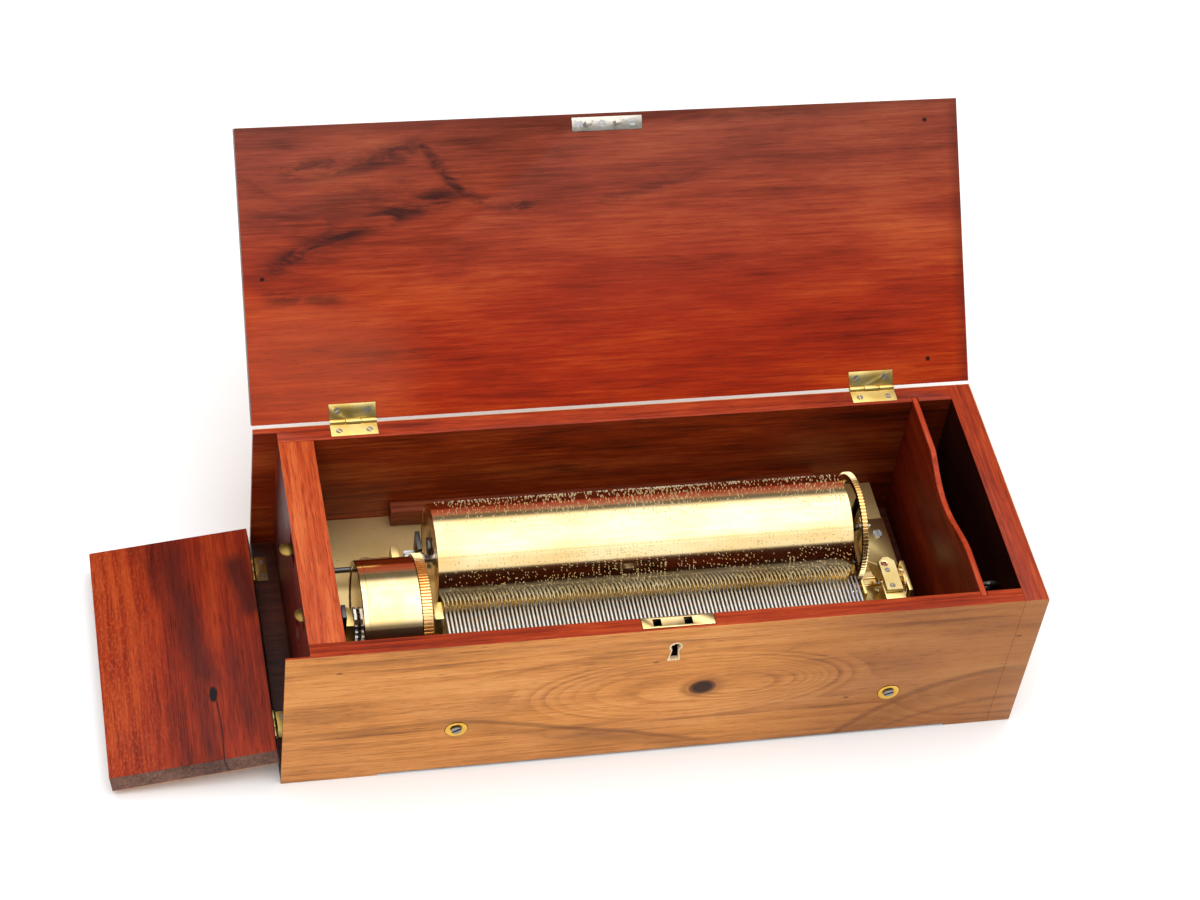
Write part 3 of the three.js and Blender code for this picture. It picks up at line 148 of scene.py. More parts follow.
def circle(radius, sides=32, start=0.0, sweep=FULL_TURN):
    """Points round a circle, or along an arc with both of its ends."""
    steps = sides if sweep == FULL_TURN else sides + 1
    angles = [start + sweep * i / sides for i in range(steps)]
    return [(radius * math.cos(angle), radius * math.sin(angle)) for angle in angles]


class Form:
    """A mesh in the making, in millimetres of the case frame."""

    def __init__(self):
        self.mesh = bmesh.new()

    def rings(self, loops, closed_ends=True, closed_round=False):
        """Skins loops of points that all have the same count; a loop of one point is a tip."""
        made = [[self.mesh.verts.new(p) for p in loop] for loop in loops]
        pairs = list(zip(made, made[1:]))
        if closed_round:
            pairs.append((made[-1], made[0]))
        for a, b in pairs:
            count = max(len(a), len(b))
            for k in range(count):
                n = (k + 1) % count
                if len(a) == 1:
                    corners = (a[0], b[n], b[k])
                elif len(b) == 1:
                    corners = (a[k], a[n], b[0])
                else:
                    corners = (a[k], a[n], b[n], b[k])
                self.mesh.faces.new(corners)
        if closed_ends and not closed_round:
            if len(made[0]) > 2:
                self.mesh.faces.new(list(reversed(made[0])))
            if len(made[-1]) > 2:
                self.mesh.faces.new(made[-1])
        return self

    def lathe(self, profile, centre, axis="x", sides=48, hollow=False):
        """A turned form: profile points are (along, radius) from the centre."""
        along, across, up = AXES[axis]
        middle = Vector(centre)
        loops = []
        for reach, radius in profile:
            if radius <= 0:
                loops.append([middle + along * reach])
                continue
            loops.append([middle + along * reach + across * a + up * b for a, b in circle(radius, sides)])
        return self.rings(loops, closed_ends=not hollow, closed_round=hollow)

    def prism(self, outline, start, thick, axis="x", centre=(0, 0, 0), chamfer=0.0):
        """An outline pushed along an axis, with both of its ends chamfered."""
        along, across, up = AXES[axis]
        middle = Vector(centre)
        inner = inset(outline, chamfer) if chamfer else outline
        layers = [(start, inner), (start + thick, inner)]
        if chamfer:
            layers[1:1] = [(start + chamfer, outline), (start + thick - chamfer, outline)]
        return self.rings([
            [middle + along * reach + across * a + up * b for a, b in points] for reach, points in layers
        ])

    def place(self, matrix):
        self.mesh.transform(matrix)
        return self

    def add(self, other):
        """Takes in another form as it stands."""
        carrier = bpy.data.meshes.new("carrier")
        other.mesh.to_mesh(carrier)
        other.mesh.free()
        self.mesh.from_mesh(carrier)
        bpy.data.meshes.remove(carrier)
        return self


def finished(name, mesh, look, body, crease):
    """Smooths a mesh between its creases and lets it ride on its body."""
    piece = bpy.data.objects.new(name, mesh)
    scene.collection.objects.link(piece)
    mesh.materials.clear()
    mesh.materials.append(look)
    for polygon in mesh.polygons:
        polygon.use_smooth = True
    mesh.set_sharp_from_angle(angle=math.radians(crease))
    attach(piece, body)
    return piece


def settle(form, name, look, body, replaced=(), crease=40):
    """Turns a form into a piece of the scene."""
    bmesh.ops.recalc_face_normals(form.mesh, faces=form.mesh.faces)
    mesh = bpy.data.meshes.new(name)
    form.mesh.transform(TO_FRAME)
    form.mesh.to_mesh(mesh)
    form.mesh.free()
    piece = finished(name, mesh, look, body, crease)
    if replaced:
        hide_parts(*replaced)
    return piece


SAME_POINT = 2e-6
SAME_PLANE, SHARP = math.radians(0.5), math.radians(38)


def dressed(node, look, arris=0.3, shortest=0.9):
    """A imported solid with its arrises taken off, in place of the node itself."""
    source = frame["nodes"][node]
    copy = bmesh.new()
    copy.from_mesh(source.data)
    bmesh.ops.remove_doubles(copy, verts=copy.verts, dist=SAME_POINT)
    bmesh.ops.dissolve_limit(copy, angle_limit=SAME_PLANE, verts=copy.verts, edges=copy.edges)
    sharp = [
        e for e in copy.edges
        if len(e.link_faces) == 2 and e.calc_face_angle() > SHARP and e.calc_length() > shortest * MM
    ]
    bmesh.ops.bevel(
        copy, geom=sharp, offset=arris * MM, segments=2, profile=0.6, affect="EDGES", clamp_overlap=True,
    )
    mesh = bpy.data.meshes.new(node)
    copy.to_mesh(mesh)
    copy.free()
    piece = finished(node + "_dressed", mesh, look, source["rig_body"], 30)
    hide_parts(node)
    return piece


def kept(node, look):
    """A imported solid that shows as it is, in its finish."""
    mesh = frame["nodes"][node].data
    mesh.materials.clear()
    mesh.materials.append(look)


# Materials

def tone(red, green, blue):
    """A colour as it shows, from 0 to 255, turned into light values."""
    values = [c / 255 for c in (red, green, blue)]
    return tuple(c / 12.92 if c <= 0.04045 else ((c + 0.055) / 1.055) ** 2.4 for c in values) + (1.0,)


class Value:
    """A number in a material that Python can reckon with."""

    def __init__(self, look, socket):
        self.look = look
        self.socket = socket

    def __add__(self, other):
        return self.look.maths("ADD", self, other)

    __radd__ = __add__

    def __sub__(self, other):
        return self.look.maths("SUBTRACT", self, other)

    def __rsub__(self, other):
        return self.look.maths("SUBTRACT", other, self)

    def __mul__(self, other):
        return self.look.maths("MULTIPLY", self, other)

    __rmul__ = __mul__

    def __truediv__(self, other):
        return self.look.maths("DIVIDE", self, other)


class Look:
    """A material in the making; positions in it are metres of the shared frame at rest."""

    def __init__(self, name):
        self.material = bpy.data.materials.new(name)
        self.material.use_nodes = True
        self.tree = self.material.node_tree
        self.tree.nodes.clear()

    @classmethod
    def on(cls, tree):
        """The same tools on a node tree that isn't a material's."""
        look = cls.__new__(cls)
        look.tree = tree
        tree.nodes.clear()
        return look

    def node(self, kind, settings=None, inputs=None, output=0):
        made = self.tree.nodes.new("ShaderNode" + kind)
        for name, value in (settings or {}).items():
            if name == "stops":
                self.stops(made.color_ramp, value)
            else:
                setattr(made, name, value)
        for name, value in (inputs or {}).items():
            if isinstance(value, Value):
                self.tree.links.new(value.socket, made.inputs[name])
            elif value is not None:
                made.inputs[name].default_value = value
        return Value(self, made.outputs[output])

    @staticmethod
    def stops(ramp, stops):
        while len(ramp.elements) < len(stops):
            ramp.elements.new(1.0)
        for element, (position, colour) in zip(ramp.elements, stops):
            element.position = position
            element.color = colour

    def maths(self, operation, *values):
        return self.node("Math", {"operation": operation}, dict(enumerate(values)))

    def vector(self, operation, first, second):
        return self.node("VectorMath", {"operation": operation}, {0: first, 1: second})

    def spot(self):
        return self.node("TexCoord", output="Object")

    def parts(self, vector):
        split = self.node("SeparateXYZ", inputs={0: vector})
        return [Value(self, split.socket.node.outputs[i]) for i in range(3)]

    def joined(self, x, y, z):
        return self.node("CombineXYZ", inputs={0: x, 1: y, 2: z})

    def noise(self, vector, detail=3.0, roughness=0.5, distortion=0.0):
        inputs = {"Vector": vector, "Scale": 1.0, "Detail": detail}
        inputs.update({"Roughness": roughness, "Distortion": distortion})
        return self.node("TexNoise", None, inputs, "Fac")

    def stretched(self, vector, x, y, z):
        return self.vector("MULTIPLY", vector, (x, y, z))

    def rise(self, value, low, high):
        """0 below low, 1 above high and smooth between them."""
        return self.node("MapRange", {"interpolation_type": "SMOOTHSTEP"}, {0: value, 1: low, 2: high})

    def mix(self, first, second, factor):
        return self.node("Mix", {"data_type": "RGBA"}, {0: factor, 6: first, 7: second}, 2)

    def ramp(self, value, stops):
        return self.node("ValToRGB", {"stops": stops}, {0: value})

    def bump(self, height, strength, depth):
        inputs = {"Height": height, "Strength": strength, "Distance": depth * MM}
        return self.node("Bump", None, inputs)

    def finish(self, **sockets):
        """The surface itself: constants sit on its own sockets, and only the looks vary."""
        named = {key.replace("_", " "): value for key, value in sockets.items()}
        shader = self.node("BsdfPrincipled", None, named)
        end = self.tree.nodes.new("ShaderNodeOutputMaterial")
        self.tree.links.new(shader.socket, end.inputs["Surface"])
        return self.material


# Wood: a board's own directions are run along the grain, width across it and depth into the board

def run_of_grain(look, spot, order, middle):
    """Board position in metres from a middle point given in millimetres of the case frame."""
    origin = TO_FRAME @ Vector(middle)
    parts = dict(zip("xyz", look.parts(look.vector("SUBTRACT", spot, tuple(origin)))))
    return look.joined(*(parts[letter] for letter in order))


def streak(look, run, width, start, end, breadth, bow=0.0):
    """A dark vein from one point of the board to another, in millimetres from the board's middle."""
    a, b = Vector(start) * MM, Vector(end) * MM
    direction = (b - a).normalized()
    length = (b - a).length
    along = (run - a.x) * (direction.x / length) + (width - a.y) * (direction.y / length)
    off = (run - a.x) * -direction.y + (width - a.y) * direction.x
    off = off - along * (1 - along) * (4 * bow * MM)
    near = 1 - look.rise(look.maths("ABSOLUTE", off), breadth * 0.15 * MM, breadth * MM)
    return near * look.rise(along, -0.12, 0.12) * (1 - look.rise(along, 0.85, 1.12))


def streaks(look, run, width, veins, first=None):
    """The darkest of several veins, each with its start, end, breadth, bow and depth."""
    veined = first
    for start, end, breadth, bow, depth in veins:
        vein = streak(look, run, width, start, end, breadth, bow) * depth
        veined = vein if veined is None else look.maths("MAXIMUM", veined, vein)
    return veined


def oval(look, run, width, centre, radii):
    """1 at a point of the board, fading to 0 on an ellipse round it."""
    across = (run - centre[0] * MM) / (radii[0] * MM)
    up = (width - centre[1] * MM) / (radii[1] * MM)
    return 1 - look.rise(across * across + up * up, 0.0, 1.0)


class Timber:
    """Grain of one board: rings round a wandering pith, fibres along the run, pores and clouds."""

    def __init__(
        self, look, order, middle, ring=4.0, pith=(0, 55), wander=4.0, swells=(), spot=None, warp=1.0,
    ):
        self.look = look
        self.board = run_of_grain(look, spot or look.spot(), order, middle)
        run, width, depth = look.parts(self.board)
        self.depth = depth
        drift = look.noise(look.stretched(self.board, 7, 16, 16), 2.0)
        ripple = look.noise(look.stretched(self.board, 26, 85, 85), 3.0)
        self.run = run
        self.width = width + (drift - 0.5) * (warp * 14 * MM) + (ripple - 0.5) * (warp * 2.2 * MM)
        across = self.width - pith[0] * MM
        down = depth - pith[1] * MM
        reach = look.maths("SQRT", across * across + down * down)
        reach = reach + (look.noise(look.stretched(self.board, 5, 9, 9), 1.0) - 0.5) * (wander * 2 * MM)
        for centre, radii, height in swells:
            reach = reach + oval(look, run, width, centre, radii) * (height * MM)
        rings = reach / (ring * MM)
        turn = look.maths("FRACT", rings)
        patch = look.rise(look.noise(look.stretched(self.board, 15, 40, 40), 2.0), 0.36, 0.62)
        self.late = look.rise(turn, 0.3, 0.92) * (1 - look.rise(turn, 0.92, 1.0)) * (0.3 + patch * 0.7)
        year = {"W": look.maths("FLOOR", rings)}
        self.year = look.node("TexWhiteNoise", {"noise_dimensions": "1D"}, year, "Value")
        self.fibre = look.noise(look.stretched(self.board, 22, 620, 620), 4.0, 0.6)
        self.thread = look.noise(look.stretched(self.board, 85, 1900, 1900), 2.0, 0.6)
        self.cloud = look.noise(look.stretched(self.board, 9, 34, 34), 3.0, 0.55)
        pore_field = look.noise(look.stretched(self.board, 110, 2100, 2100), 1.0)
        self.pore = look.rise(pore_field, 0.60, 0.72)
        flame_field = look.noise(look.stretched(self.board, 12, 90, 90), 4.0, 0.6, 0.6)
        self.flame = look.rise(flame_field, 0.56, 0.78)

    def tone(self, rings=0.3, fibres=0.35, clouds=0.55):
        """Lightness of the wood from 0 dark to 1 light."""
        light = 0.5 + (self.fibre - 0.5) * (2 * fibres) + (self.cloud - 0.5) * (2 * clouds)
        light = light + (self.thread - 0.5) * (1.3 * fibres)
        return light - self.late * ((self.year * 0.7 + 0.3) * rings) + rings * 0.16

    def relief(self, strength=0.35):
        height = self.fibre * 0.5 + self.thread * 0.3 - self.pore * 0.8
        return self.look.bump(height, strength, 0.12)


def stain(look, light, dark, middle, pale):
    """Three tones of one stain over the lightness of the wood."""
    return look.ramp(light, [(0.12, dark), (0.5, middle), (0.88, pale)])


RED_DARK, RED, RED_PALE = tone(98, 24, 8), tone(156, 50, 18), tone(190, 82, 34)
INSIDE_DARK, INSIDE, INSIDE_PALE = tone(58, 13, 2), tone(116, 35, 6), tone(152, 70, 26)
WALNUT_DARK, WALNUT, WALNUT_PALE = tone(136, 84, 41), tone(195, 126, 62), tone(218, 153, 87)
VEIN = tone(66, 34, 18)
SHADE = tone(24, 6, 3)
PORE_DARK = tone(46, 18, 8)


def wooden(look, timber, colour, gloss=0.4, coat=0.05, pores=0.45, relief=0.3, sheen=0.18):
    """Polished wood: pores darken it and dull it, and a thin polish lies over it."""
    colour = look.mix(colour, PORE_DARK, timber.pore * pores)
    rough = gloss + (timber.fibre - 0.5) * 0.16 + timber.pore * 0.2
    return look.finish(
        Base_Color=colour, Roughness=rough, Normal=timber.relief(relief),
        Coat_Weight=coat, Coat_Roughness=0.2, Specular_IOR_Level=sheen,
    )


def walnut_colour(look, timber, rings=0.3):
    return stain(look, timber.tone(rings, 0.4, 0.5), WALNUT_DARK, WALNUT, WALNUT_PALE)


def front_veneer(look):
    """The walnut of the front, which runs on over the right wall's end: a knot with its rings, and veins."""
    swells = [((14, 0), (96, 27), 19), ((44, -1), (44, 15), 8), ((182, -40), (70, 34), -8)]
    timber = Timber(look, "xzy", (190, 0, 52), ring=3.1, pith=(4, 74), swells=swells, wander=2, warp=0.7)
    run, width = timber.run, timber.width
    outer = walnut_colour(look, timber, 0.4)
    veins = [
        ((-192, -16), (-90, -12), 2.0, 0, 0.5), ((-112, -13), (26, -46), 2.6, 3, 0.8),
        ((-100, -20), (30, -52), 7, 2, 0.4), ((90, -56), (188, -7), 3.6, 12, 0.9),
        ((98, -58), (190, -16), 9, 11, 0.45), ((118, -50), (192, -30), 2.4, 5, 0.6),
        ((110, 34), (192, 26), 5, 2, 0.35), ((-95, 18), (0, 30), 1.6, 4, 0.35),
        ((-190, 36), (-60, 40), 3, 0, 0.25),
    ]
    veined = streaks(look, run, width, veins, look.rise(timber.flame, 0.2, 1.0) * 0.16)
    outer = look.mix(outer, VEIN, veined * (0.2 + timber.fibre * 0.8))
    outer = look.mix(outer, tone(120, 70, 40), look.rise(run, 10 * MM, 130 * MM) * 0.55)
    halo = oval(look, run, width, (19, -2), (14, 8.6))
    outer = look.mix(outer, tone(118, 70, 38), halo * 0.6)
    knot = oval(look, run, width, (18.3, -2), (8.2, 5.4))
    outer = look.mix(outer, tone(84, 44, 26), look.rise(knot, 0.05, 0.4) * 0.8)
    core = look.rise(knot + (timber.thread - 0.5) * 0.6, 0.45, 0.85)
    outer = look.mix(outer, tone(34, 16, 10), core * 0.85)
    for place in ((-164, 33), (180, 18), (-8, 20), (96, -20)):
        outer = look.mix(outer, VEIN, oval(look, run, width, place, (2.2, 1.0)) * 0.7)
    return timber, outer


def veneered_front(look, y):
    """1 on the case's front face, 0 behind it."""
    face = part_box("front_wall")[0].y
    return 1 - look.rise(y, face + 0.25 * MM, face + 0.6 * MM)


def on_the_rim(look, z):
    """1 on the case's top edges, 0 below them."""
    return look.rise(z, (CASE.z - 0.5) * MM, (CASE.z - 0.2) * MM)


def front_look():
    look = Look("front_board")
    timber, outer = front_veneer(look)
    light = timber.tone(0.3, 0.4, 0.5)
    rim = stain(look, light, RED_DARK, RED, RED_PALE)
    # painted shade: the inside face takes darker tones than the back wall's, down to SHADE, so that the
    # cylinder mirrors it dark
    inside = stain(look, light, SHADE, INSIDE_DARK, INSIDE)
    x, y, z = look.parts(look.spot())
    colour = look.mix(look.mix(inside, rim, on_the_rim(look, z)), outer, veneered_front(look, y))
    return wooden(look, timber, colour, gloss=0.44, pores=0.4, sheen=0.14)


BACK_TONES = (INSIDE_DARK, INSIDE, INSIDE_PALE)
# painted shade: the right wall's inside takes the darkest tones, down to SHADE, to darken the compartments
# beside it
RIGHT_SHADED_TONES = (SHADE, tone(40, 12, 6), INSIDE_DARK)


def rim_and_inside(name, order, middle, outer_axis, tones, both_ends=False):
    """A wall of the case: red on its rim, dark inside and walnut outside, on its ends too where they show."""
    look = Look(name)
    timber = Timber(look, order, middle, ring=4.5, pith=(10, 50))
    light = timber.tone(0.25, 0.45, 0.6)
    rim = stain(look, light, RED_DARK, RED, RED_PALE)
    inside = stain(look, light, *tones)
    # painted shade, together with the wood's flame figure: the inside darkens towards the high end of each
    # board's run, the right of the back wall
    shade = look.maths("MAXIMUM", timber.flame * 0.6, look.rise(timber.run, 40 * MM, 180 * MM) * 0.5)
    inside = look.mix(inside, SHADE, shade)
    place = look.parts(look.spot())
    colour = look.mix(inside, rim, on_the_rim(look, place[2]))
    limit = (TO_FRAME @ CASE)[outer_axis]
    outside = look.rise(place[outer_axis], limit - 0.6 * MM, limit - 0.25 * MM)
    walnut = walnut_colour(look, timber)
    colour = look.mix(colour, walnut, outside)
    if both_ends:
        rear = (TO_FRAME @ CASE).y
        behind = look.rise(place[1], rear - 0.6 * MM, rear - 0.25 * MM)
        colour = look.mix(colour, walnut, behind)
        colour = look.mix(colour, front_veneer(look)[1], veneered_front(look, place[1]))
    return wooden(look, timber, colour)


def partition_look():
    look = Look("partition_board")
    timber = Timber(look, "yxz", (20, 75, 97), ring=3.2, pith=(-22, -30), warp=0.6)
    light = timber.tone(0.3, 0.55, 0.55)
    top_colour = stain(look, light, tone(132, 36, 14), tone(186, 76, 34), tone(208, 108, 56))
    side = stain(look, light, SHADE, tone(78, 16, 8), tone(118, 34, 14))
    x, y, z = look.parts(look.spot())
    top = look.rise(z, (CASE.z - 0.6) * MM, (CASE.z - 0.25) * MM)
    return wooden(look, timber, look.mix(side, top_colour, top), gloss=0.42, pores=0.5, sheen=0.12)


def lid_look():
    look = Look("lid_board")
    turn = {"rotation_type": "X_AXIS"}
    line = TO_FRAME @ LID_LINE
    spot = look.node("VectorRotate", turn, {"Vector": look.spot(), "Center": tuple(line), "Angle": LID_OPEN})
    middle = (190, CASE.y / 2, CASE.z)
    swells = [((-130, -34), (70, 40), 9), ((60, 10), (150, 30), 5)]
    timber = Timber(look, "xyz", middle, ring=5.2, pith=(8, -72), spot=spot, swells=swells, wander=6)
    run, width = timber.run, timber.width
    # towards the free edge the wood turns a greyer brown: partly its own darker colour, partly painted sheen
    free_edge = 1 - look.rise(width, -74 * MM, 60 * MM)
    light = timber.tone(0.12, 0.34, 0.6)
    warm = stain(look, light, tone(98, 18, 4), tone(154, 40, 8), tone(192, 76, 20))
    brown = stain(look, light, tone(80, 34, 20), tone(130, 57, 38), tone(150, 78, 52))
    inner = look.mix(warm, brown, free_edge * 0.9)
    rosy = oval(look, run, width, (40, 34), (180, 44)) * 0.5
    inner = look.mix(inner, tone(138, 24, 8), rosy * timber.cloud)
    inner = look.mix(inner, tone(184, 96, 66), oval(look, run, width, (-160, 50), (70, 46)) * 0.3)
    smoke = streaks(look, run, width, [
        ((-178, -2), (-74, -37), 8, -5, 1.0), ((-168, -52), (-92, -63), 9, 3, 0.8),
        ((-97, -64), (-74, -35), 5, 1, 1.0), ((-80, -38), (-38, -27), 5, 2, 0.8),
        ((-180, 12), (-140, 14), 6, 1, 0.6), ((-8, -29), (56, -41), 6, 2, 0.55),
        ((-186, -30), (-120, -40), 10, 2, 0.5), ((-40, -70), (120, -72), 7, 0, 0.4),
        ((-150, -24), (-100, -44), 12, 0, 0.5),
    ])
    wisps = look.rise(look.noise(look.stretched(timber.board, 22, 80, 80), 6.0, 0.7, 1.4), 0.42, 0.62)
    inner = look.mix(inner, tone(44, 20, 18), smoke * (wisps * 0.8 + 0.12))
    right_edge = look.rise(run, 182 * MM, 190 * MM)
    worn_edge = look.maths("MAXIMUM", right_edge, 1 - look.rise(width, -75 * MM, -66 * MM))
    inner = look.mix(inner, tone(62, 26, 18), worn_edge * 0.45)
    for place in ((-180.5, 2.5), (172, -63), (168, 62)):
        inner = look.mix(inner, tone(24, 10, 8), oval(look, run, width, place, (1.7, 1.7)))
    outer = walnut_colour(look, timber)
    near_face = 1 - look.rise(timber.depth, 0.5 * MM, 0.9 * MM)
    far_face = look.rise(timber.depth, 8.4 * MM, 8.9 * MM)
    edge = stain(look, timber.tone(0.3, 0.5, 0.4), tone(44, 20, 14), tone(84, 38, 24), tone(110, 54, 34))
    colour = look.mix(look.mix(edge, inner, near_face), outer, far_face)
    return wooden(look, timber, colour, pores=0.25, sheen=0.13)


def flap_look():
    look = Look("flap_board")
    turn = {"rotation_type": "Y_AXIS"}
    line = TO_FRAME @ FLAP_LINE
    spot = look.node("VectorRotate", turn, {"Vector": look.spot(), "Center": tuple(line), "Angle": FLAP_OPEN})
    middle = (FLAP_LINE.x, CASE.y / 2, 55)
    swells = [((-34, -14), (40, 10), 5)]
    timber = Timber(look, "yzx", middle, ring=4.2, pith=(-6, -46), spot=spot, swells=swells)
    run, width = timber.run, timber.width
    light = timber.tone(0.15, 0.5, 0.6)
    warm = stain(look, light, tone(88, 18, 4), tone(138, 37, 10), tone(174, 68, 26))
    deep = stain(look, light, tone(72, 14, 4), tone(132, 35, 9), tone(162, 56, 18))
    speckle = look.rise(look.noise(look.stretched(timber.board, 380, 820, 820), 2.0), 0.5, 0.62)
    far = look.rise(width, -6 * MM, 40 * MM)
    inner = look.mix(deep, look.mix(warm, tone(186, 92, 48), speckle * 0.35), far)
    shade = streaks(look, run, width, [
        ((14, -36), (54, -30), 11, 0, 1.0), ((-28, -13), (70, -2), 9, 3, 0.8),
        ((-70, -12), (70, 12), 7, -3, 0.45), ((-60, -30), (0, -22), 6, 0, 0.35),
    ])
    inner = look.mix(inner, tone(46, 16, 14), shade * (timber.fibre * 0.95 + 0.3))
    knot = oval(look, run, width, (-33, -13.5), (6.6, 2.4))
    inner = look.mix(inner, tone(16, 9, 8), look.rise(knot + (timber.thread - 0.5) * 0.9, 0.25, 0.7))
    crack = streak(look, run, width, (-36, -14.5), (-78, -16.5), 0.6, 0.5) * 0.85
    inner = look.mix(inner, tone(30, 10, 8), crack)
    end_colour = stain(look, light, tone(52, 34, 30), tone(98, 66, 54), tone(132, 96, 80))
    end_colour = look.mix(end_colour, tone(24, 14, 12), crack)
    face = look.rise(timber.depth, 11.3 * MM, 11.7 * MM)
    back = 1 - look.rise(timber.depth, 0.9 * MM, 1.3 * MM)
    colour = look.mix(look.mix(end_colour, inner, face), walnut_colour(look, timber), back)
    return wooden(look, timber, colour, gloss=0.4, pores=0.5, sheen=0.1)


def divider_look():
    look = Look("divider_board")
    timber = Timber(look, "yzx", (350, 75, 60), ring=5.0, pith=(0, 40))
    light = timber.tone(0.2, 0.4, 0.55)
    face = stain(look, light, tone(60, 10, 4), tone(112, 30, 10), tone(150, 54, 20))
    edge = stain(look, light, tone(116, 26, 12), tone(172, 58, 28), tone(196, 88, 46))
    x, y, z = look.parts(look.spot())
    left = 1 - look.rise(x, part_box("key_divider")[0].x + 0.2 * MM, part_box("key_divider")[0].x + 0.6 * MM)
    right = look.rise(x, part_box("key_divider")[1].x - 0.6 * MM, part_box("key_divider")[1].x - 0.2 * MM)
    # painted shade: the right face, in the key compartment, takes the darkest tones, down to SHADE
    shaded_side = stain(look, light, SHADE, tone(40, 12, 6), INSIDE_DARK)
    colour = look.mix(look.mix(edge, face, left), shaded_side, right)
    return wooden(look, timber, colour, sheen=0.08)


def plain_timber(name, order, middle, tones, ring=4.5):
    look = Look(name)
    timber = Timber(look, order, middle, ring=ring, pith=(8, 40))
    return wooden(look, timber, stain(look, timber.tone(), *tones), coat=0.0, gloss=0.5)


# Metal and the small finishes

def turning_marks(look, axis_point, scale=1.0):
    """Fine lines that go round an X axis: on the rim they follow X, on a face the radius."""
    centre = TO_FRAME @ axis_point
    x, y, z = look.parts(look.vector("SUBTRACT", look.spot(), tuple(centre)))
    radius = look.maths("SQRT", y * y + z * z)
    lines = look.joined(x * (2600 * scale), radius * (2600 * scale), 0.0)
    return look.noise(lines, 2.0, 0.6), radius, x


def brass(
    name, rough=0.16, marks=None, pale=(236, 208, 156), deep=(218, 180, 116), worn=0.3, scratch=0.05,
    dark_below=None, darker_within=None, metal=1.0,
):
    """Polished brass: its colour drifts a little, and fine marks break up its gloss."""
    look = Look(name)
    spot = look.spot()
    drift = look.noise(look.stretched(spot, 60, 60, 60), 3.0)
    fine = look.noise(look.stretched(spot, 900, 2600, 2600), 3.0, 0.65)
    if marks is not None:
        fine, radius, x = turning_marks(look, marks)
    stained = look.rise(look.noise(look.stretched(spot, 240, 240, 240), 4.0, 0.6), 0.62, 0.75)
    colour = look.mix(tone(*deep), tone(*pale), look.rise(drift, 0.3, 0.7))
    colour = look.mix(colour, tone(150, 104, 44), stained * worn * 0.5)
    if dark_below is not None:
        shaded = 1 - look.rise(look.parts(spot)[2], (dark_below - 0.4) * MM, dark_below * MM)
        colour = look.mix(colour, tone(58, 34, 18), shaded)
    # darker brass within the given radius
    if darker_within is not None:
        inner = 1 - look.rise(radius, (darker_within - 0.3) * MM, darker_within * MM)
        colour = look.mix(colour, tone(84, 58, 30), inner)
    roughness = rough + (fine - 0.5) * 0.12 + stained * (worn * 0.15)
    return look.finish(
        Base_Color=colour, Metallic=metal, Roughness=roughness, Normal=look.bump(fine, scratch, 0.05),
    )


def cylinder_brass(pitch):
    """The cylinder's shell: polished, with a faint scored line for each tooth of the comb."""
    look = Look("cylinder_brass")
    fine, radius, x = turning_marks(look, CYLINDER_AXIS, 0.8)
    drift = look.noise(look.stretched(look.spot(), 26, 60, 60), 3.0)
    score = look.maths("SINE", x * (FULL_TURN / (pitch * MM)))
    score = look.rise(score, 0.8, 1.0)
    speck = look.rise(look.noise(look.stretched(look.spot(), 700, 700, 700), 2.0), 0.66, 0.74)
    colour = look.mix(tone(228, 194, 132), tone(242, 217, 166), look.rise(drift, 0.3, 0.7))
    colour = look.mix(colour, tone(178, 136, 74), score * 0.1 + speck * 0.3)
    roughness = 0.13 + (fine - 0.5) * 0.08
    return look.finish(
        Base_Color=colour, Metallic=1.0, Roughness=roughness, Normal=look.bump(fine, 0.03, 0.05),
    )


def bedplate_brass():
    """The bedplate: brushed along its length, duller than the turned pieces."""
    look = Look("bedplate_brass")
    spot = look.spot()
    brushed = look.noise(look.stretched(spot, 160, 2400, 2400), 3.0, 0.6)
    cloud = look.noise(look.stretched(spot, 24, 24, 24), 3.0)
    speck = look.rise(look.noise(look.stretched(spot, 420, 420, 420), 3.0, 0.7), 0.64, 0.76)
    colour = look.mix(tone(220, 190, 124), tone(244, 218, 158), look.rise(cloud, 0.3, 0.7))
    colour = look.mix(colour, tone(112, 84, 44), speck * 0.5)
    return look.finish(
        Base_Color=colour, Metallic=1.0, Roughness=0.56 + (brushed - 0.5) * 0.2 + speck * 0.1,
        Normal=look.bump(brushed, 0.08, 0.05),
    )


def steel(name, light, rough=0.28, grain=(2400, 300, 2400), rust=0.15):
    """Ground steel with a few dull spots."""
    look = Look(name)
    spot = look.spot()
    ground = look.noise(look.stretched(spot, *grain), 3.0, 0.6)
    dull = look.rise(look.noise(look.stretched(spot, 330, 330, 330), 3.0, 0.6), 0.58, 0.72)
    bright = tone(*light)
    dark = tuple(c * 0.55 for c in bright[:3]) + (1.0,)
    colour = look.mix(dark, bright, look.rise(ground, 0.2, 0.6))
    colour = look.mix(colour, tone(84, 66, 52), dull * rust)
    return look.finish(
        Base_Color=colour, Metallic=1.0, Roughness=rough + (ground - 0.5) * 0.16 + dull * 0.12,
        Normal=look.bump(ground, 0.08, 0.05),
    )


def bone_look():
    look = Look("bone")
    grain = look.noise(look.stretched(look.spot(), 900, 900, 260), 3.0)
    colour = look.mix(tone(196, 168, 120), tone(232, 212, 170), look.rise(grain, 0.3, 0.7))
    roughness = 0.4 + (grain - 0.5) * 0.2
    return look.finish(Base_Color=colour, Roughness=roughness, Normal=look.bump(grain, 0.1, 0.05))


def ruby_look():
    look = Look("ruby")
    cloud = look.noise(look.stretched(look.spot(), 1200, 1200, 1200), 2.0)
    colour = look.mix(tone(96, 8, 22), tone(168, 20, 40), cloud)
    return look.finish(Base_Color=colour, Roughness=0.08 + cloud * 0.04, Coat_Weight=0.6, Coat_Roughness=0.04)


